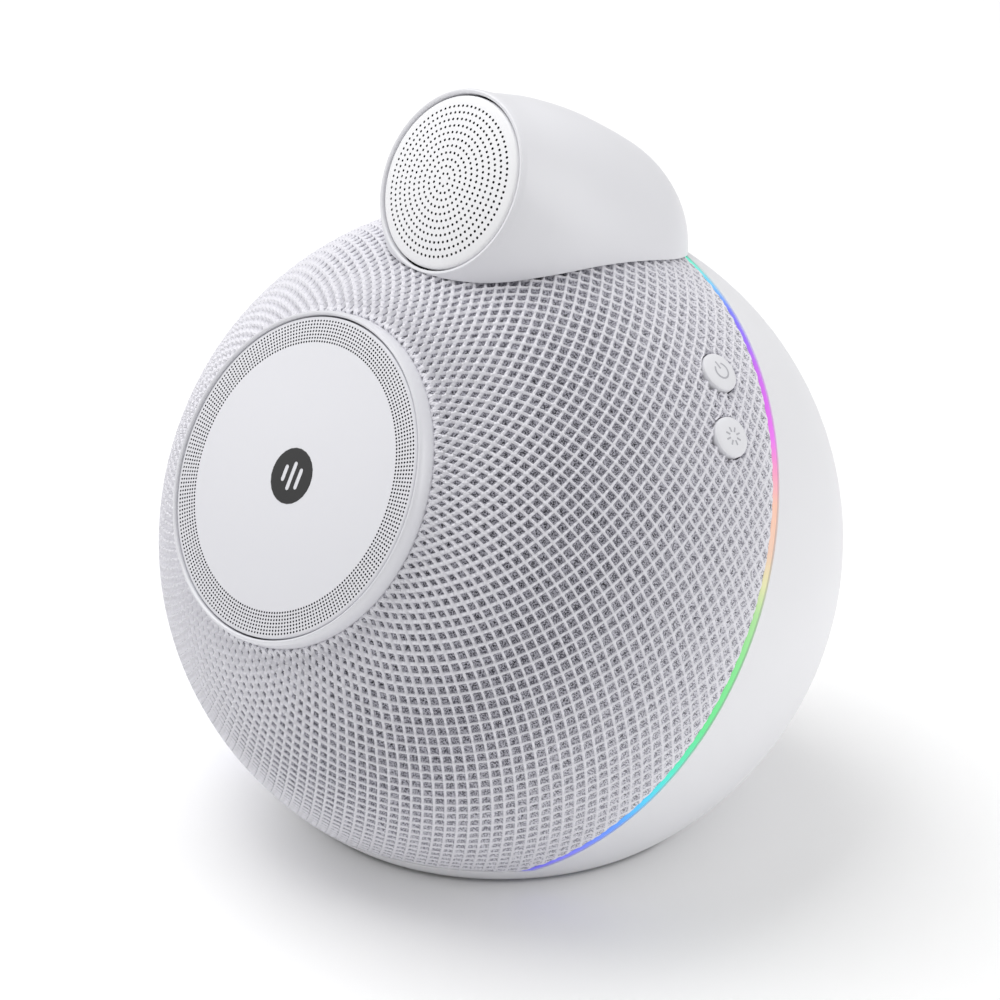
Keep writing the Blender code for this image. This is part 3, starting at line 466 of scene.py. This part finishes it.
def on_outline(run, lift=0.0):
    """(radius, depth) at a length along the outline from the ring plane, lifted off it."""
    if run < SPHERE_RUN:
        turned_by = run / BALL_R
        radius, depth, bend = 0.0, 0.0, BALL_R
    elif run < SPHERE_RUN + NOSE_RUN:
        turned_by = FLAT_FROM + (run - SPHERE_RUN) / NOSE_R
        radius, depth, bend = *NOSE_CENTRE, NOSE_R
    else:
        turned_by = NOSE_END + (run - SPHERE_RUN - NOSE_RUN) / HEM_R
        radius = NOSE_CENTRE[0] + (NOSE_R - HEM_R) * math.cos(NOSE_END)
        depth, bend = NOSE_CENTRE[1] + (NOSE_R - HEM_R) * math.sin(NOSE_END), HEM_R
    return radius + (bend + lift) * math.cos(turned_by), depth + (bend + lift) * math.sin(turned_by)


SADDLE_TILT = math.radians(44.0)
SADDLE_MIDDLE = Vector((0, math.sin(SADDLE_TILT), math.cos(SADDLE_TILT))) * BALL_R
SADDLE_R = 30.0
SADDLE_DEPTH = 2.2
SADDLE_FADE = (31.0, 41.0)


def sink_saddle(bm):
    """Press the shallow seat for the pod into a skin drawn round the woofer axis."""
    for vert in bm.verts:
        near = math.exp(-((vert.co - SADDLE_MIDDLE).length / SADDLE_R) ** 5)
        if near > 1e-3:
            off_axis = math.degrees(vert.co.angle(Vector((0, 0, 1))))
            share = (off_axis - SADDLE_FADE[0]) / (SADDLE_FADE[1] - SADDLE_FADE[0])
            share = min(1.0, max(0.0, share))
            vert.co -= vert.co.normalized() * SADDLE_DEPTH * near * share * share * (3 - 2 * share)


nose_end = [round(x, 2) for x in on_outline(SPHERE_RUN + NOSE_RUN)]
print("cloth from ring to bezel, mm:", round(CLOTH_RUN, 1), "nose ends at", nose_end)

# %% [markdown]
# ## The back housing
# The back of the ball and the band round the foot are one moulding. It starts as a spun sphere. Two planes
# mark the lines where it stops, one along the ring and one level above the foot, the front cap between them
# is deleted, and the skin gets its wall. A slot with rounded corners lets the charging plug in.

# %% Back housing
SHELL_WALL = 2.5
PORT_SIZE = (10.0, 4.3, 14.0)


def room_up():
    """Which way is up in the woofer's frame."""
    return (woofer_axis.inverted().to_3x3() @ Vector((0, 0, 1))).normalized()


def level_point(height):
    """A point in the woofer's frame that lies so many millimetres above the ball's centre in the room."""
    return woofer_axis.inverted() @ Vector((0, 0, (BALL_HEIGHT + height) * MM)) / MM


def back_housing():
    bm = bmesh.new()
    rows = 72
    latitudes = [-90.0 + 180.0 * i / rows for i in range(rows + 1)]
    outline = [(BALL_R * math.cos(math.radians(a)), BALL_R * math.sin(math.radians(a))) for a in latitudes]
    outline[0], outline[-1] = (0.0, -BALL_R), (0.0, BALL_R)
    turn(bm, outline, 160)
    up, skirt, foot = room_up(), level_point(SKIRT_TOP), level_point(FOOT_EDGE)
    ring_edge = (0, 0, SHELL_DEPTH)
    for point, normal, clear in ((skirt, up, False), (ring_edge, (0, 0, 1), False), (foot, up, True)):
        bmesh.ops.bisect_plane(bm, geom=bm.verts[:] + bm.edges[:] + bm.faces[:], dist=1e-4, plane_co=point,
                               plane_no=normal, clear_inner=clear)
    cap = [face for face in bm.faces if face.calc_center_median().z > SHELL_DEPTH
           and (face.calc_center_median() - skirt).dot(up) > 0]
    bmesh.ops.delete(bm, geom=cap, context="FACES")
    bmesh.ops.solidify(bm, geom=bm.faces[:], thickness=SHELL_WALL)
    bmesh.ops.recalc_face_normals(bm, faces=bm.faces)
    housing = to_piece("back_housing", bm, woofer_axis, "matt_white")
    bm = bmesh.new()
    bmesh.ops.create_cube(bm, size=1.0)
    bmesh.ops.scale(bm, vec=PORT_SIZE, verts=bm.verts)
    long_edges = [e for e in bm.edges if abs(e.verts[0].co.z - e.verts[1].co.z) > 1.0]
    bmesh.ops.bevel(bm, geom=long_edges, offset=2.1, offset_type="OFFSET", segments=8, profile=0.5,
                    affect="EDGES", material=-1, clamp_overlap=True)
    bmesh.ops.translate(bm, vec=(0, 0, BALL_R), verts=bm.verts)
    carve(housing, to_piece("port_tool", bm, port_axis, "matt_white"))
    return settle(housing, stands_for=("rear_shell",))


back_housing()

# %% [markdown]
# ## The ring of light
# A band with softly rounded edges fills the slot between cloth and housing.
# It is spun whole, cut level where it meets the foot, and closed there.

# %% Light ring
BAND_R = (84.2, 89.75)
BAND_DEPTH = (-1.6, 0.45)


def light_band():
    bm = bmesh.new()
    (inner, outer), (low, top) = BAND_R, BAND_DEPTH
    turn(bm, [(inner, low), (outer, low), (outer, top), (inner, top), (inner, low)], 240)
    soften(bm, 0.35)
    bmesh.ops.bisect_plane(bm, geom=bm.verts[:] + bm.edges[:] + bm.faces[:], dist=1e-4, plane_no=room_up(),
                           plane_co=level_point(BAND_FOOT), clear_inner=True)
    bmesh.ops.holes_fill(bm, edges=[e for e in bm.edges if e.is_boundary], sides=0)
    bmesh.ops.recalc_face_normals(bm, faces=bm.faces)
    return settle(to_piece("light_band", bm, woofer_axis, "diffuser"), stands_for=("light_ring",))


light_band()

# %% [markdown]
# ## The knitted cover
# The cloth is a tube with the same number of ribs at the ring and at the
# bezel, so its cells shrink towards the front and lean over as it is pulled
# round the ball. We count it in its own threads: a flat grid whose X is the
# number of a rib and whose Y is the number of a bar, four mesh steps to each.
# The band that covers the ball is kept, each crossing is carried to its
# place on the outline, and ribs stand up from the pits between them. The
# relief is calmer at both edges, where the cloth is held down.

# %% The lattice of ribs and bars
RIBS_ROUND = 92
BARS_ROUND = 131
STEPS = 4
RIB_LEAN = (-0.305, 0.00025)
BAR_LEAN = (0.260, -0.000475)
PIT = (0.7, 1.3)


def leaned(lean, run):
    """How many threads the lattice has slipped by at a length along the outline."""
    return lean[0] * run + lean[1] * run * run


def unwind(rib, bar):
    """(angle, run) on the ball of a place that is counted in ribs and bars."""
    slope = BARS_ROUND * RIB_LEAN[0] - RIBS_ROUND * BAR_LEAN[0]
    curve = BARS_ROUND * RIB_LEAN[1] - RIBS_ROUND * BAR_LEAN[1]
    across = BARS_ROUND * rib - RIBS_ROUND * bar
    run = (-slope - math.sqrt(max(0.0, slope * slope + 4 * curve * across))) / (2 * curve)
    return math.tau * (rib - leaned(RIB_LEAN, run)) / RIBS_ROUND, run


def thread_height(rib, bar, pit):
    """Relief of the lattice: round ribs, slightly lower bars, pits of a depth between."""
    def slope_of(count, top, half_width):
        away = min(1.0, abs(count - round(count)) / half_width)
        return top - (pit + top) * away * away * (3 - 2 * away)
    return max(slope_of(rib, 0.0, 0.34), slope_of(bar, -0.06, 0.32))


# %% Knit the cover
POD_HOLE = (25.0, 27.3)
CLOTH_LOWEST = -69.0
SPARE = 1.2
ROLL = 0.9
WELL_R = 5.7
WELL_SNAP = 0.4
presses = {joint["child"]: joint["axis"] for joint in frame["record"]["behaviour"]["joints"]}
POWER_WAY = -Vector(presses["power_button"])
LIGHT_WAY = -Vector(presses["light_button"])


def knitted_cover():
    to_room = woofer_axis.to_3x3()
    bars = (-2, BARS_ROUND + 60)
    bm = bmesh.new()
    bmesh.ops.create_grid(bm, x_segments=RIBS_ROUND * STEPS, y_segments=(bars[1] - bars[0]) * STEPS, size=0.5)
    bmesh.ops.scale(bm, vec=(RIBS_ROUND, bars[1] - bars[0], 1), verts=bm.verts)
    bmesh.ops.translate(bm, vec=(RIBS_ROUND / 2, (bars[0] + bars[1]) / 2, 0), verts=bm.verts)
    outside = [v for v in bm.verts if not -SPARE < unwind(v.co.x, v.co.y)[1] < CLOTH_RUN]
    bmesh.ops.delete(bm, geom=outside, context="VERTS")
    lattice = bm.loops.layers.uv.new("lattice")
    outline = bm.loops.layers.uv.new("outline")
    for face in bm.faces:
        for loop in face.loops:
            loop[lattice].uv = loop.vert.co.xy
            loop[outline].uv = (unwind(loop.vert.co.x, loop.vert.co.y)[1], 0.0)
    wells = [to_room.inverted() @ way for way in (POWER_WAY, LIGHT_WAY)]
    hidden = []
    for vert in bm.verts:
        rib, bar = vert.co.x, vert.co.y
        angle, run = unwind(rib, bar)
        calm = min(1.0, max(0.25, (SPHERE_RUN + NOSE_RUN - run) / 1.5), max(0.3, run / 5.0))
        pit = PIT[0] + (PIT[1] - PIT[0]) * min(1.0, max(0.0, run / 60.0))
        radius, depth = on_outline(run, thread_height(rib, bar, pit) * calm)
        vert.co = (radius * math.sin(angle), radius * math.cos(angle), depth)
        room = to_room @ vert.co
        under_pod = room.z > 0 and (room.x / POD_HOLE[0]) ** 2 + (room.y / POD_HOLE[1]) ** 2 < 1
        if under_pod or room.z < CLOTH_LOWEST:
            hidden.append(vert)
            continue
        for way in wells:
            along = vert.co.dot(way)
            off = vert.co - way * along
            if along > 0 and off.length < WELL_R + WELL_SNAP:
                if off.length < WELL_R - WELL_SNAP:
                    hidden.append(vert)
                else:
                    vert.co = way * along + off.normalized() * WELL_R
    bmesh.ops.delete(bm, geom=hidden, context="VERTS")
    bmesh.ops.remove_doubles(bm, verts=[v for v in bm.verts if v.is_boundary], dist=0.01)
    sink_saddle(bm)
    for point, normal in (((0, 0, EDGE_DEPTH), (0, 0, 1)), (level_point(BAND_FOOT), room_up())):
        bmesh.ops.bisect_plane(bm, geom=bm.verts[:] + bm.edges[:] + bm.faces[:], dist=1e-4, plane_co=point,
                               plane_no=normal, clear_inner=True)
    bmesh.ops.delete(bm, geom=[e for e in bm.edges if e.is_wire], context="EDGES")
    rim = bmesh.ops.extrude_edge_only(bm, edges=[e for e in bm.edges if e.is_boundary])
    for item in rim["geom"]:
        if isinstance(item, bmesh.types.BMVert):
            item.co -= item.co.normalized() * ROLL
    bmesh.ops.recalc_face_normals(bm, faces=bm.faces)
    cover = to_piece("knitted_cover", bm, woofer_axis, "knit", angle=80.0)
    return settle(cover, stands_for=("fabric_cover",))


knitted_cover()

# %% [markdown]
# ## Drilled grilles
# A drilled hole is the same small shape hundreds of times, so it must cost few faces. The sheet is laid out
# with two mesh steps to a hole; the crossing in the middle of each hole is dissolved, which leaves a face
# with eight sides; it is inset, its corners are drawn onto a circle, and the round middle is pushed down. Its
# wall and floor get a dark finish, painted shade that stands for the shaded wall and the dark space behind
# the hole.

# %% Punch holes
def punch(bm, centres, radius, depth, dark):
    """Turn the faces round each centre vertex into a round blind hole."""
    bmesh.ops.dissolve_verts(bm, verts=centres)
    faces = [face for face in bm.faces if len(face.verts) == 8]
    bmesh.ops.inset_individual(bm, faces=faces, thickness=0.12, use_even_offset=True)
    for face in faces:
        middle = face.calc_center_median()
        for vert in face.verts:
            away = vert.co - middle
            vert.co = middle + away.normalized() * radius
    pushed = bmesh.ops.extrude_discrete_faces(bm, faces=faces)["faces"]
    for face in pushed:
        for edge in face.edges:
            for side in edge.link_faces:
                # painted shade: the hole's wall and floor take the dark finish
                side.material_index = dark
        bmesh.ops.translate(bm, vec=(0, 0, -depth), verts=face.verts[:])
    return len(pushed)


def draw_out(bm, edges, profile):
    """Extrude a round loop of edges through rings of (radius, height, drop of its centre)."""
    sunk = 0.0
    for radius, height, *rest in profile:
        drop = rest[0] if rest else 0.0
        grown = bmesh.ops.extrude_edge_only(bm, edges=edges)["geom"]
        edges = [item for item in grown if isinstance(item, bmesh.types.BMEdge)]
        for vert in (item for item in grown if isinstance(item, bmesh.types.BMVert)):
            flat = (vert.co.xy + Vector((0, sunk))).normalized() * radius
            vert.co = (flat.x, flat.y - drop, height)
        sunk = drop
    return edges


# %% [markdown]
# ## The woofer's front
# The front disc is a lightly crowned plate with seven rows of fine holes near
# its edge, and a slim bezel holds the knit down round it. The plate is one
# spin: its profile has two points per row of holes, and the spin has two
# steps per hole. Only one twelfth is drilled, and the rest are copies of it.

# %% Front plate
HOLE_ROWS = 7
HOLES_ROUND = 240
ROW_PITCH = 0.886
FIRST_ROW = 34.6
PLATE_R = 41.05
PLATE_EDGE = 79.3
PLATE_CROWN = 0.9
PLATE_HOLE = (0.29, 0.6)


def front_plate():
    def crown(radius):
        return PLATE_EDGE + PLATE_CROWN * (1 - (radius / PLATE_R) ** 2)
    inner = FIRST_ROW - ROW_PITCH / 2
    radii = [0.0, 7.5, 14.0, 20.0, 26.0, 31.0] + [inner + ROW_PITCH / 2 * i for i in range(2 * HOLE_ROWS + 1)]
    profile = [(r, crown(r)) for r in radii]
    rolled = ((0.3, -0.03), (0.12, -0.12), (0.03, -0.25), (0.0, -0.5), (0.0, -4.7), (1.2, -4.7), (1.2, -1.6))
    profile += [(PLATE_R - inwards, PLATE_EDGE + drop) for inwards, drop in rolled]
    profile += [(20.0, PLATE_EDGE - 0.9), (0.0, PLATE_EDGE - 0.6)]
    sectors = 12
    spokes = 2 * HOLES_ROUND // sectors
    bm = bmesh.new()
    verts, edges = wire(bm, [(r, 0.0, z) for r, z in profile])
    bmesh.ops.spin(bm, geom=verts + edges, cent=(0, 0, 0), axis=(0, 0, 1), angle=math.tau / sectors,
                   steps=spokes, use_merge=False, use_duplicate=False)
    bmesh.ops.remove_doubles(bm, verts=bm.verts, dist=1e-4)
    bmesh.ops.recalc_face_normals(bm, faces=bm.faces)
    if sum(face.normal.z for face in bm.faces if face.calc_center_median().z > PLATE_EDGE - 0.3) < 0:
        bmesh.ops.reverse_faces(bm, faces=bm.faces[:])
    centres = []
    for vert in bm.verts:
        row = (vert.co.xy.length - inner) / (ROW_PITCH / 2)
        spoke = math.atan2(vert.co.y, vert.co.x) / math.tau * 2 * HOLES_ROUND
        on_top = vert.co.z > PLATE_EDGE - 0.1 and -0.1 < row < 2 * HOLE_ROWS
        if on_top and abs(row - round(row)) < 0.05 and round(row) % 2 == 1 and round(spoke) % 2 == 1:
            centres.append(vert)
    count = punch(bm, centres, *PLATE_HOLE, 1) * sectors
    bmesh.ops.spin(bm, geom=bm.verts[:] + bm.edges[:] + bm.faces[:], cent=(0, 0, 0), axis=(0, 0, 1),
                   angle=math.tau * (sectors - 1) / sectors, steps=sectors - 1, use_merge=False,
                   use_duplicate=True)
    bmesh.ops.remove_doubles(bm, verts=bm.verts, dist=1e-3)
    plate = to_piece("front_plate", bm, woofer_axis, "satin_white", "dark_frame")
    print("holes in the front plate:", count)
    return settle(plate, stands_for=("woofer_cover",))


front_plate()

# %% Bezel
BEZEL_R = 43.0
BEZEL_BORE = 41.45
SEAT_R = 36.0
SEAT_TOP = 70.5
SEAT_LOW = 68.5


def front_bezel():
    bm = bmesh.new()
    lip = [(BEZEL_R, 75.8), (42.86, 78.2), (42.6, 79.2), (42.3, 79.6), (41.95, 79.7), (41.6, 79.58)]
    turn(bm, [(SEAT_R, SEAT_LOW), (BEZEL_R, SEAT_LOW), *lip, (BEZEL_BORE, 79.2), (BEZEL_BORE, SEAT_TOP),
              (SEAT_R, SEAT_TOP), (SEAT_R, SEAT_LOW)], 192)
    soften(bm, 0.12, 2, where=lambda middle: middle.z > 71.0)
    return settle(to_piece("front_bezel", bm, woofer_axis, "satin_white"),
                  stands_for=("woofer_bezel",))


front_bezel()

# %% [markdown]
# ## The tweeter's cap
# The cap on the pod is pressed metal, lacquered white, with rings of holes
# from the middle out. Each ring has its own number of holes, so each is a
# band of its own, two mesh steps to a hole, and bands are joined by bridging
# their edges. The flat sheet is then crowned and its rim drawn down.

# %% Tweeter cap
CAP_R = 22.4
RING_PITCH = 1.77
HOLE_SPACING = 1.5
CAP_RINGS = 11
CAP_HOLE = (0.37, 0.75)


def cap_crown(radius):
    return 2.0 * (1 - min(1.0, radius / 21.6) ** 2.2)


def loop_at(bm, radius):
    """The open edges that lie on a circle."""
    return [e for e in bm.edges if e.is_boundary
            and all(abs(v.co.xy.length - radius) < 0.02 for v in e.verts)]


def tweeter_cap():
    bm = bmesh.new()
    centres = []
    gap = 0.12
    edge_before = None
    for ring in range(1, CAP_RINGS + 1):
        middle = RING_PITCH * ring
        count = 2 * round(math.tau * middle / HOLE_SPACING)
        radii = [middle - RING_PITCH / 2 + gap, middle, middle + RING_PITCH / 2 - gap]
        verts, edges = wire(bm, [(r, 0.0, 0.0) for r in radii])
        bmesh.ops.spin(bm, geom=verts + edges, cent=(0, 0, 0), axis=(0, 0, 1), angle=math.tau, steps=count,
                       use_merge=True, use_duplicate=False)
        bm.verts.ensure_lookup_table()
        if edge_before:
            bmesh.ops.bridge_loops(bm, edges=loop_at(bm, edge_before) + loop_at(bm, radii[0]))
        edge_before = radii[2]
        for vert in bm.verts:
            spoke = math.atan2(vert.co.y, vert.co.x) / math.tau * count
            if abs(vert.co.xy.length - middle) < 0.02 and round(spoke) % 2 == 1:
                centres.append(vert)
    heart = draw_out(bm, loop_at(bm, RING_PITCH / 2 + gap), [(0.5, 0.0)])
    bmesh.ops.edgeloop_fill(bm, edges=heart)
    bmesh.ops.recalc_face_normals(bm, faces=bm.faces)
    if sum(face.normal.z for face in bm.faces) < 0:
        bmesh.ops.reverse_faces(bm, faces=bm.faces[:])
    count = punch(bm, centres, *CAP_HOLE, 1)
    for vert in bm.verts:
        vert.co.z += cap_crown(vert.co.xy.length)
    rim = draw_out(bm, loop_at(bm, edge_before), [
        (20.9, cap_crown(20.9)), (21.3, 0.03), (21.75, -0.06), (22.1, -0.24), (22.32, -0.55), (CAP_R, -0.95),
        (CAP_R, -3.0), (21.5, -3.0), (21.5, -1.4), (19.0, -0.4), (11.0, 0.5), (4.0, 0.95), (0.02, 1.05)])
    bmesh.ops.edgeloop_fill(bm, edges=rim)
    bmesh.ops.recalc_face_normals(bm, faces=bm.faces)
    cap = to_piece("tweeter_cap", bm, pod_axis, "cap_white", "dark_frame")
    print("holes in the tweeter cap:", count)
    return settle(cap, stands_for=("tweeter_grille",))


tweeter_cap()

# %% [markdown]
# ## The pod
# The tweeter's pod is a bullet whose nose is cut square and whose tail runs
# out to a point. A small circle at the tail is extruded again and again, each
# time to the next size and place along the axis, a little higher or lower,
# then round the lip, down the bore and back along the inside. The ball is
# then subtracted, so that the pod sits in its saddle with one clean line of
# contact.

# %% Pod
POD_SHAPE = ((1.0, 24.5, 0.2), (4.0, 26.0, 1.4), (8.0, 27.6, 2.5), (13.0, 29.3, 3.2), (20.0, 31.0, 3.8),
             (32.0, 31.8, 4.0), (46.0, 31.8, 4.9), (56.0, 30.4, 5.0), (64.0, 27.0, 4.7), (70.0, 22.5, 4.3),
             (75.5, 15.8, 3.9), (79.5, 8.8, 3.5), (81.2, 0.0, 3.4))
LIP = ((0.55, 24.1, 0.05), (0.2, 23.95, 0.0), (0.0, 23.65, 0.0), (0.0, 23.3, 0.0), (0.15, 23.02, 0.0),
       (0.45, 22.9, 0.0), (9.6, 22.9, 0.0))
POD_WALL = 2.0
POD_ROUND = 96
SEAT_GAP = 0.25


def eased(table, count):
    """More rows between the rows of a table, on a smooth curve through them all."""
    rows = [Vector(row) for row in table]
    rows = [2 * rows[0] - rows[1]] + rows + [2 * rows[-1] - rows[-2]]
    smooth = []
    for a, b, c, d in zip(rows, rows[1:], rows[2:], rows[3:]):
        for i in range(count):
            t = i / count
            smooth.append(0.5 * (2 * b + (c - a) * t + (2 * a - 5 * b + 4 * c - d) * t * t
                                 + (3 * b - a - 3 * c + d) * t ** 3))
    return smooth


def hull_tool():
    """The ball with the pod's seat pressed in, a hair bigger than the knit."""
    bm = bmesh.new()
    behind, rows = 60.0, 70
    runs = [-behind + (SPHERE_RUN + NOSE_RUN + behind) * i / rows for i in range(rows + 1)]
    profile = [(0.0, -behind)] + [on_outline(run, SEAT_GAP) for run in runs]
    turn(bm, profile + [(0.0, profile[-1][1])], 240)
    sink_saddle(bm)
    return to_piece("hull_tool", bm, woofer_axis, "satin_white")


def pod_shell():
    outer = [(row.y, -row.x, row.z) for row in reversed(eased(POD_SHAPE, 4)[:-1])]
    lip = [(radius, -back, drop) for back, radius, drop in LIP]
    inner = [(radius - POD_WALL, -back, drop) for back, radius, drop in POD_SHAPE[3:-1]]
    tail, _, drop = POD_SHAPE[-1]
    bm = bmesh.new()
    bmesh.ops.create_circle(bm, segments=POD_ROUND, radius=1.0)
    bmesh.ops.translate(bm, vec=(0, 0, -tail), verts=bm.verts)
    draw_out(bm, bm.edges[:], [(1.2, 0.03 - tail, drop), *outer, *lip, *inner])
    bmesh.ops.holes_fill(bm, edges=[e for e in bm.edges if e.is_boundary], sides=0)
    bmesh.ops.recalc_face_normals(bm, faces=bm.faces)
    # the pod takes the lighter copy of the white, as painted light
    pod = to_piece("pod_shell", bm, pod_axis, "pod_white_painted_lighter", angle=40.0)
    carve(pod, hull_tool())
    return settle(pod, stands_for=("pod_housing",))


pod_shell()

# %% [markdown]
# ## Two buttons and their signs
# Each button is a small domed disc in a round well through the cloth, and it
# slides in along its own axis when pressed. Its sign is generic: an open
# circle with a stroke for power, a sun of eight rays for the light. The signs
# are thin raised lines, so they are built as lines too: the arc is spun from
# a small square, strokes are stretched cubes, and both are bevelled.

# %% Buttons
BUTTON_R = 5.3
BUTTON_TOP = 91.0
BUTTON_FOOT = 86.2
LINE = 0.45


def button_frame(way):
    """Axis of a button: Z out through it, Y up."""
    side = Vector((0, 0, 1)).cross(way).normalized()
    turn_to = Matrix((side, way.cross(side), way)).transposed().to_4x4()
    return ball @ turn_to


def button_cap(name, way, body):
    bm = bmesh.new()
    rise = [(0.0, 0.0), (0.35, -0.05), (0.6, -0.15), (0.8, -0.3), (0.92, -0.5), (0.975, -0.72), (1.0, -1.1)]
    profile = [(BUTTON_R * share, BUTTON_TOP + drop) for share, drop in rise]
    turn(bm, profile + [(BUTTON_R, BUTTON_FOOT), (0.0, BUTTON_FOOT)], 72)
    return settle(to_piece(f"{body}_cap", bm, button_frame(way), "button_grey"), body, (name,))


def stroke(bm, length, start, angle):
    """A rounded bar that runs outwards from a start radius at an angle."""
    bar = bmesh.ops.create_cube(bm, size=1.0)["verts"]
    bmesh.ops.scale(bm, vec=(LINE, length, 0.3), verts=bar)
    bmesh.ops.translate(bm, vec=(0, start + length / 2, 0), verts=bar)
    bmesh.ops.rotate(bm, cent=(0, 0, 0), matrix=Matrix.Rotation(angle, 3, "Z"), verts=bar)


def arc(bm, radius, begin, sweep, steps):
    """A flat line along part of a circle."""
    half = LINE / 2
    verts, edges = wire(bm, [(radius - half, 0, -0.15), (radius + half, 0, -0.15), (radius + half, 0, 0.15),
                             (radius - half, 0, 0.15)], closed=True)
    bmesh.ops.rotate(bm, cent=(0, 0, 0), matrix=Matrix.Rotation(begin, 3, "Z"), verts=verts)
    start = bm.faces.new(verts)
    bmesh.ops.spin(bm, geom=[start, *edges, *verts], cent=(0, 0, 0), axis=(0, 0, 1), angle=sweep,
                   steps=steps, use_merge=False, use_duplicate=False)


def place_sign(name, bm, way, body):
    bmesh.ops.recalc_face_normals(bm, faces=bm.faces)
    soften(bm, 0.07, 2, 60.0)
    for vert in bm.verts:
        vert.co.z += BUTTON_TOP - 0.06 - 0.42 * (vert.co.xy.length / BUTTON_R) ** 2
    return settle(to_piece(name, bm, button_frame(way), "sign_grey"), body)


def power_sign():
    bm = bmesh.new()
    arc(bm, 2.1, math.radians(125.0), math.radians(290.0), 40)
    stroke(bm, 2.2, 0.6, 0.0)
    return place_sign("power_sign", bm, POWER_WAY, "power_button")


def sun_sign():
    bm = bmesh.new()
    for i in range(8):
        stroke(bm, 1.3, 1.15, math.tau * i / 8)
    return place_sign("sun_sign", bm, LIGHT_WAY, "light_button")


button_cap("power_button", POWER_WAY, "power_button")
button_cap("light_button", LIGHT_WAY, "light_button")
power_sign()
sun_sign()

# %% [markdown]
# ## The studio paper
# A wide sheet of paper lies under the speaker.

# %% Studio paper
paper = bmesh.new()
bmesh.ops.create_grid(paper, x_segments=1, y_segments=1, size=4000.0)
floor = to_piece("studio_paper", paper, Matrix.Identity(4), "paper_floor")
